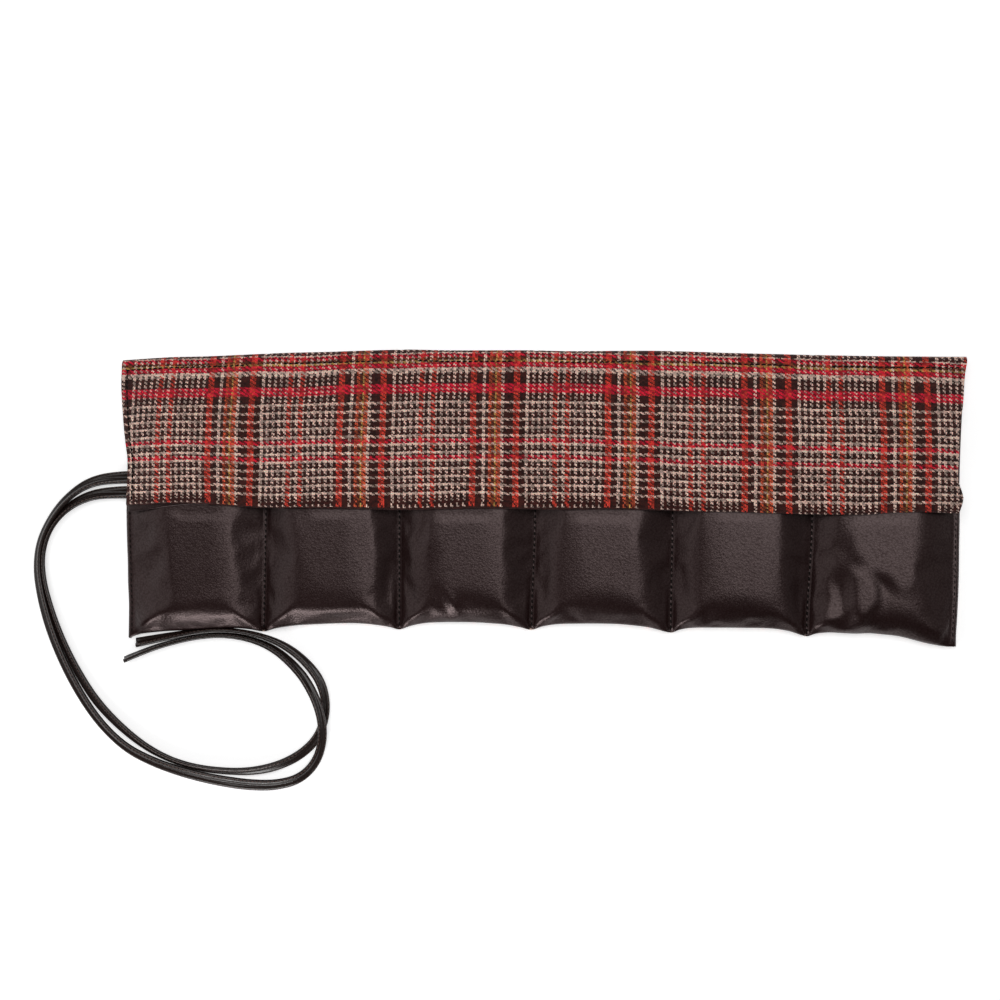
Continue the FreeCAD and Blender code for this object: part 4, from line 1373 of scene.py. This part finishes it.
def make_seams():
    """The divider seams: leather in the valley between two pockets, tweed behind it, and a row of stitches."""
    for number in SEAMS:
        line = LINES[number]
        left, right = line - SEAM_HALF, line + SEAM_HALF
        ends = dict(start=(left, 0, SEAM_AXIS), end=(right, 0, SEAM_AXIS))
        bodies = (f"panel_{number}", f"panel_{number + 1}")

        def place(x, mark):
            y, height = mark
            return Vector((x, y, seam_floor(x, number) if height is None else height))

        foot = bottom_edge(line)
        marks = [(foot + inside * MM, height * MM) for inside, height in SEAM_FOOT]
        marks += [(y, None) for y in spread(foot + 1.1 * MM, LAYER_END, 60)]
        bm = cloth_grid(spread(left, right, 9), marks, place)
        thicken(bm, STRIP_THICKNESS)
        settle(bm)
        piece = finish_piece(f"seam_leather_{number}", bm, "pocket_hide")
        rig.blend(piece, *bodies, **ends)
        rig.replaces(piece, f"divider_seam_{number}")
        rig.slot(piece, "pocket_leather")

        bm = back_sheet(left, right, 9, 0.0, CLOTH_TOP)
        settle(bm)
        piece = finish_piece(f"seam_tweed_{number}", bm, "woven_tweed")
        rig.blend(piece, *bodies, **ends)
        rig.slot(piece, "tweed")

        bm = bmesh.new()
        ys = spread(foot + 1.5 * MM, LAYER_END - 4 * MM, 40)
        sew(bm, [(line, y, LINING_TOP - 0.4 * MM) for y in ys], width=0.8 * MM)
        settle(bm)
        piece = finish_piece(f"seam_thread_{number}", bm, "seam_thread")
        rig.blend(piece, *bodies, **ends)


def make_edges():
    """Thread along the two ends, beside the fold of the flap, and along the flap's left side."""
    for number, end, side in ((1, LEFT_END, 1), (SEAM_COUNT + 1, RIGHT_END, -1)):
        bm = bmesh.new()
        x = end + side * 2.1 * MM
        ys = spread(bottom_edge(x) + 2.0 * MM, MOUTH - 1 * MM, 50)
        sew(bm, [(x, y, pocket_face(number, x, y) + 0.08 * MM) for y in ys])
        ys = spread(MOUTH + 2 * MM, LAYER_END - 4 * MM, 20)
        sew(bm, [(x, y, LINING_TOP + GAP) for y in ys])
        settle(bm)
        piece = finish_piece(f"end_thread_{number}", bm, "seam_thread")
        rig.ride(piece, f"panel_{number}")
    room = seam_room(FLAP_TOP)
    fold_row = FlapRow(FOLD_LINE - FOLD_STITCH_DROP)
    for number in POCKETS:
        left, right = panel_sides(number, room)
        left -= 5 * MM if number == 1 else 0
        right += 5 * MM if number > SEAM_COUNT else 0
        bm = bmesh.new()
        sew(bm, [fold_row.point(x, -GAP) for x in spread(left, right, 30)], **LONG_STITCH)
        if number == 1:
            rows = [FlapRow(y) for y in spread(HEM + 3 * MM, FOLD_LINE, 40)]
            side = [row.point(flap_side(0, row, 1) + 3.4 * MM, -GAP) for row in rows]
            sew(bm, side, **LONG_STITCH)
        settle(bm, panel=False)
        piece = finish_piece(f"fold_thread_{number}", bm, "seam_thread")
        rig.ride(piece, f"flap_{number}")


def make_hem_edge():
    """The end of the lining that shows under the hem at the ties' end, with a row of pale stitches."""
    first, last = LEFT_END - 2.0 * MM, LEFT_END + 46 * MM

    def place(x, share):
        reach = 3.4 * MM * (1 - smooth((x - first) / (last - first)))
        y = HEM + 2 * MM - (1.9 * MM + reach) * share
        low = flap_height(x, HEM) - 2 * HEM_RADIUS - GAP - 0.5 * MM * share
        return Vector((x, y + hem_shift(x, HEM), low))

    bm = cloth_grid(spread(first, last, 24), spread(0, 1, 7), place)
    thicken(bm, STRIP_THICKNESS)
    settle(bm, panel=False)
    piece = finish_piece("hem_lining_edge", bm, "lining_hide")
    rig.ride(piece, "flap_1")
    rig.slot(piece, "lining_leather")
    bm = bmesh.new()
    row = [place(x, 0.8) + UP * GAP for x in spread(first + 1 * MM, last - 4 * MM, 30)]
    sew(bm, row, width=0.65 * MM)
    settle(bm, panel=False)
    piece = finish_piece("hem_thread", bm, "pale_thread")
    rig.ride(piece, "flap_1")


# ---- Ties ----


def tie_line(name, route):
    """Points along a tie's smooth line, from the end seam to its cut end."""
    curve = bpy.data.curves.new(f"{name}_line", "CURVE")
    curve.dimensions = "3D"
    spline = curve.splines.new("NURBS")
    spline.points.add(len(route) - 1)
    for point, place in zip(spline.points, route):
        point.co = (*place, 1.0)
    spline.order_u = 3
    spline.use_endpoint_u = True
    spline.resolution_u = 10
    holder = bpy.data.objects.new(f"{name}_line", curve)
    bpy.context.scene.collection.objects.link(holder)
    mesh = bpy.data.meshes.new_from_object(holder)
    points = [point.co.copy() for point in mesh.vertices]
    bpy.data.objects.remove(holder)
    bpy.data.curves.remove(curve)
    bpy.data.meshes.remove(mesh)
    return points


def make_tie(name, route, turns):
    """One leather tie: a strap with turned edges that turns over as it lies on the table."""
    route = [[part * MM for part in (*point, TIE_HEIGHT)[:3]] for point in route]
    points = tie_line(name, route)
    ways = ways_along(points)
    total = ways[-1]
    centres, frames = [], []
    for index, point in enumerate(points):
        ahead = (points[min(index + 1, len(points) - 1)] - points[max(index - 1, 0)]).normalized()
        share = ways[index] / total
        turn = math.radians(straight(turns, share))
        wide, thick = sizes().tie_width / 2 * straight(TIE_WIDTHS, share), sizes().tie_thickness / 2
        aside = UP.cross(ahead).normalized()
        up = ahead.cross(aside)
        across = aside * math.cos(turn) + up * math.sin(turn)
        over = up * math.cos(turn) - aside * math.sin(turn)
        lowest = abs(across.z) * wide + abs(over.z) * thick
        centres.append(Vector((point.x, point.y, max(point.z, lowest + 0.05 * MM))))
        frames.append((across * wide, over * thick))
    outline = TIE_OUTLINE + TIE_OUTLINE[:1]

    def place(station, corner):
        wide, high = outline[corner]
        across, over = frames[station]
        return centres[station] + across * wide + over * high

    def flat(station, corner):
        return (ways[station], outline[corner][0])

    bm = cloth_grid(range(len(points)), range(len(outline)), place, flat)
    bmesh.ops.remove_doubles(bm, verts=bm.verts[:], dist=1e-6)
    bmesh.ops.holes_fill(bm, edges=[edge for edge in bm.edges if edge.is_boundary], sides=0)
    bmesh.ops.recalc_face_normals(bm, faces=bm.faces[:])
    piece = finish_piece(f"{name}_strap", bm, "tie_hide")
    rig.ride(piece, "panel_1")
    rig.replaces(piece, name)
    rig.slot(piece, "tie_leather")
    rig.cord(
        piece, exit=route[0], length=total, diameter=sizes().tie_width, far_end="bare", stiffness="limp", lay="loose",
        path=centres,
    )


def make_ties():
    """Both ties, and the finish of the tongue that they are cut from."""
    make_tie("tie_upper", TIE_UPPER_ROUTE, TIE_UPPER_TURNS)
    make_tie("tie_lower", TIE_LOWER_ROUTE, TIE_LOWER_TURNS)
    tongue = frame["nodes"]["tie_tongue"]
    tongue.data.materials.clear()
    tongue.data.materials.append(stock("lining_hide"))


# ---- Stage ----


def add_lamp(name, place, aim, size, power):
    """A soft square lamp that points at a place on the table."""
    lamp = bpy.data.lights.new(name, "AREA")
    lamp.shape = "RECTANGLE"
    lamp.size, lamp.size_y = size
    lamp.energy = power
    holder = bpy.data.objects.new(name, lamp)
    holder.location = place
    holder.rotation_euler = (Vector(aim) - Vector(place)).to_track_quat("-Z", "Y").to_euler()
    holder.visible_camera = False
    bpy.context.scene.collection.objects.link(holder)


def make_room():
    """Light from all round, with white walls where a level ray ends."""
    world = bpy.data.worlds.new("room")
    world.use_nodes = True
    bpy.context.scene.world = world
    nodes = Nodes(world.node_tree)
    steepness = nodes.size(nodes.parts(nodes.node("ShaderNodeNewGeometry", output="Incoming"))[2])
    fill = bpy.context.scene.watch_roll_stage.fill_strength
    inputs = {"Value": steepness, "From Min": 0.06, "From Max": 0.12, "To Min": 1.0, "To Max": fill}
    light = world.node_tree.nodes["Background"]
    nodes.feed(light.inputs["Color"], (1, 1, 1, 1))
    nodes.feed(light.inputs["Strength"], nodes.node("ShaderNodeMapRange", inputs))


def make_stage():
    """Camera, soft light and a pale floor."""
    scene = bpy.context.scene
    stage = scene.watch_roll_stage
    camera = bpy.data.cameras.new("camera")
    camera.lens = stage.lens
    camera.sensor_width = 36
    holder = bpy.data.objects.new("camera", camera)
    holder.location = CAMERA_PLACE
    holder.rotation_euler = [math.radians(turn) for turn in CAMERA_TURNS]
    scene.collection.objects.link(holder)
    scene.camera = holder
    add_lamp("overhead", (0.2, 0.5, 1.75), (0.0, 0.0, 0.0), (2.1, 1.2), stage.overhead_power)
    add_lamp("left", (-1.6, 0.2, 0.9), (0.0, 0.0, 0.0), (1.2, 1.6), stage.left_power)
    add_lamp("right", (1.6, 0.2, 0.9), (0.0, 0.0, 0.0), (1.2, 1.6), stage.right_power)
    add_lamp("lower_left", (-0.22, -0.44, 0.2), (-0.12, -0.06, 0.0), (0.2, 0.14), stage.side_power)
    make_room()
    bm = bmesh.new()
    bmesh.ops.create_grid(bm, x_segments=1, y_segments=1, size=6)
    bmesh.ops.translate(bm, verts=bm.verts[:], vec=(0, 0, -0.2 * MM))
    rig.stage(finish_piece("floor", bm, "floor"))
    scene.view_settings.view_transform = "Standard"


# ---- Add-on ----


class WATCHROLL_OT_stage(bpy.types.Operator):
    """Add the camera, the light and the floor"""

    bl_idname = "watchroll.stage"
    bl_label = "Stage"

    def execute(self, context):
        make_stage()
        return {"FINISHED"}


class WATCHROLL_OT_ties(bpy.types.Operator):
    """Lay the two leather ties along their routes"""

    bl_idname = "watchroll.ties"
    bl_label = "Ties"

    def execute(self, context):
        make_ties()
        return {"FINISHED"}


class WATCHROLL_OT_back(bpy.types.Operator):
    """Lay the tweed back, the felt and the lining on each other"""

    bl_idname = "watchroll.back"
    bl_label = "Back"

    def execute(self, context):
        make_back()
        return {"FINISHED"}


class WATCHROLL_OT_pockets(bpy.types.Operator):
    """Drape the leather fronts of the pockets"""

    bl_idname = "watchroll.pockets"
    bl_label = "Pockets"

    def execute(self, context):
        make_pockets()
        return {"FINISHED"}


class WATCHROLL_OT_seams(bpy.types.Operator):
    """Sew the divider seams between the pockets"""

    bl_idname = "watchroll.seams"
    bl_label = "Divider seams"

    def execute(self, context):
        make_seams()
        return {"FINISHED"}


class WATCHROLL_OT_flap(bpy.types.Operator):
    """Fold the tweed flap down over the pockets"""

    bl_idname = "watchroll.flap"
    bl_label = "Flap"

    def execute(self, context):
        make_flap()
        make_flap_lining()
        return {"FINISHED"}


class WATCHROLL_OT_thread(bpy.types.Operator):
    """Sew the ends, the fold and the edge of the lining"""

    bl_idname = "watchroll.thread"
    bl_label = "Edge thread"

    def execute(self, context):
        make_edges()
        make_hem_edge()
        return {"FINISHED"}


class WATCHROLL_PT_pieces(bpy.types.Panel):
    """Lists the pieces in the order that they are made"""

    bl_idname = "WATCHROLL_PT_pieces"
    bl_label = "Watch roll"
    bl_space_type = "VIEW_3D"
    bl_region_type = "UI"
    bl_category = "Watch roll"

    def draw(self, context):
        for name in ("watch_roll_sizes", "watch_roll_colours", "watch_roll_stage"):
            group = getattr(context.scene, name)
            box = self.layout.box()
            for key in group.__annotations__:
                box.prop(group, key)
        for operator in OPERATORS:
            self.layout.operator(operator.bl_idname)


OPERATORS = (
    WATCHROLL_OT_stage,
    WATCHROLL_OT_ties,
    WATCHROLL_OT_back,
    WATCHROLL_OT_pockets,
    WATCHROLL_OT_seams,
    WATCHROLL_OT_flap,
    WATCHROLL_OT_thread,
)
GROUPS = (WatchRollSizes, WatchRollColours, WatchRollStage)


def register():
    for item in (*GROUPS, *OPERATORS, WATCHROLL_PT_pieces):
        bpy.utils.register_class(item)
    bpy.types.Scene.watch_roll_sizes = PointerProperty(type=WatchRollSizes)
    bpy.types.Scene.watch_roll_colours = PointerProperty(type=WatchRollColours)
    bpy.types.Scene.watch_roll_stage = PointerProperty(type=WatchRollStage)


def unregister():
    del bpy.types.Scene.watch_roll_sizes
    del bpy.types.Scene.watch_roll_colours
    del bpy.types.Scene.watch_roll_stage
    for item in reversed((*GROUPS, *OPERATORS, WATCHROLL_PT_pieces)):
        bpy.utils.unregister_class(item)


def main():
    """Builds everything in order and writes the CAD box and the visual model's box."""
    register()
    bpy.ops.watchroll.stage()
    bpy.ops.watchroll.ties()
    bpy.ops.watchroll.back()
    bpy.ops.watchroll.pockets()
    bpy.ops.watchroll.seams()
    bpy.ops.watchroll.flap()
    bpy.ops.watchroll.thread()
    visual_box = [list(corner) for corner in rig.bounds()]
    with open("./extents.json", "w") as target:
        json.dump({"cad": CAD_BOX, "visual": visual_box}, target)


if __name__ == "__main__":
    main()
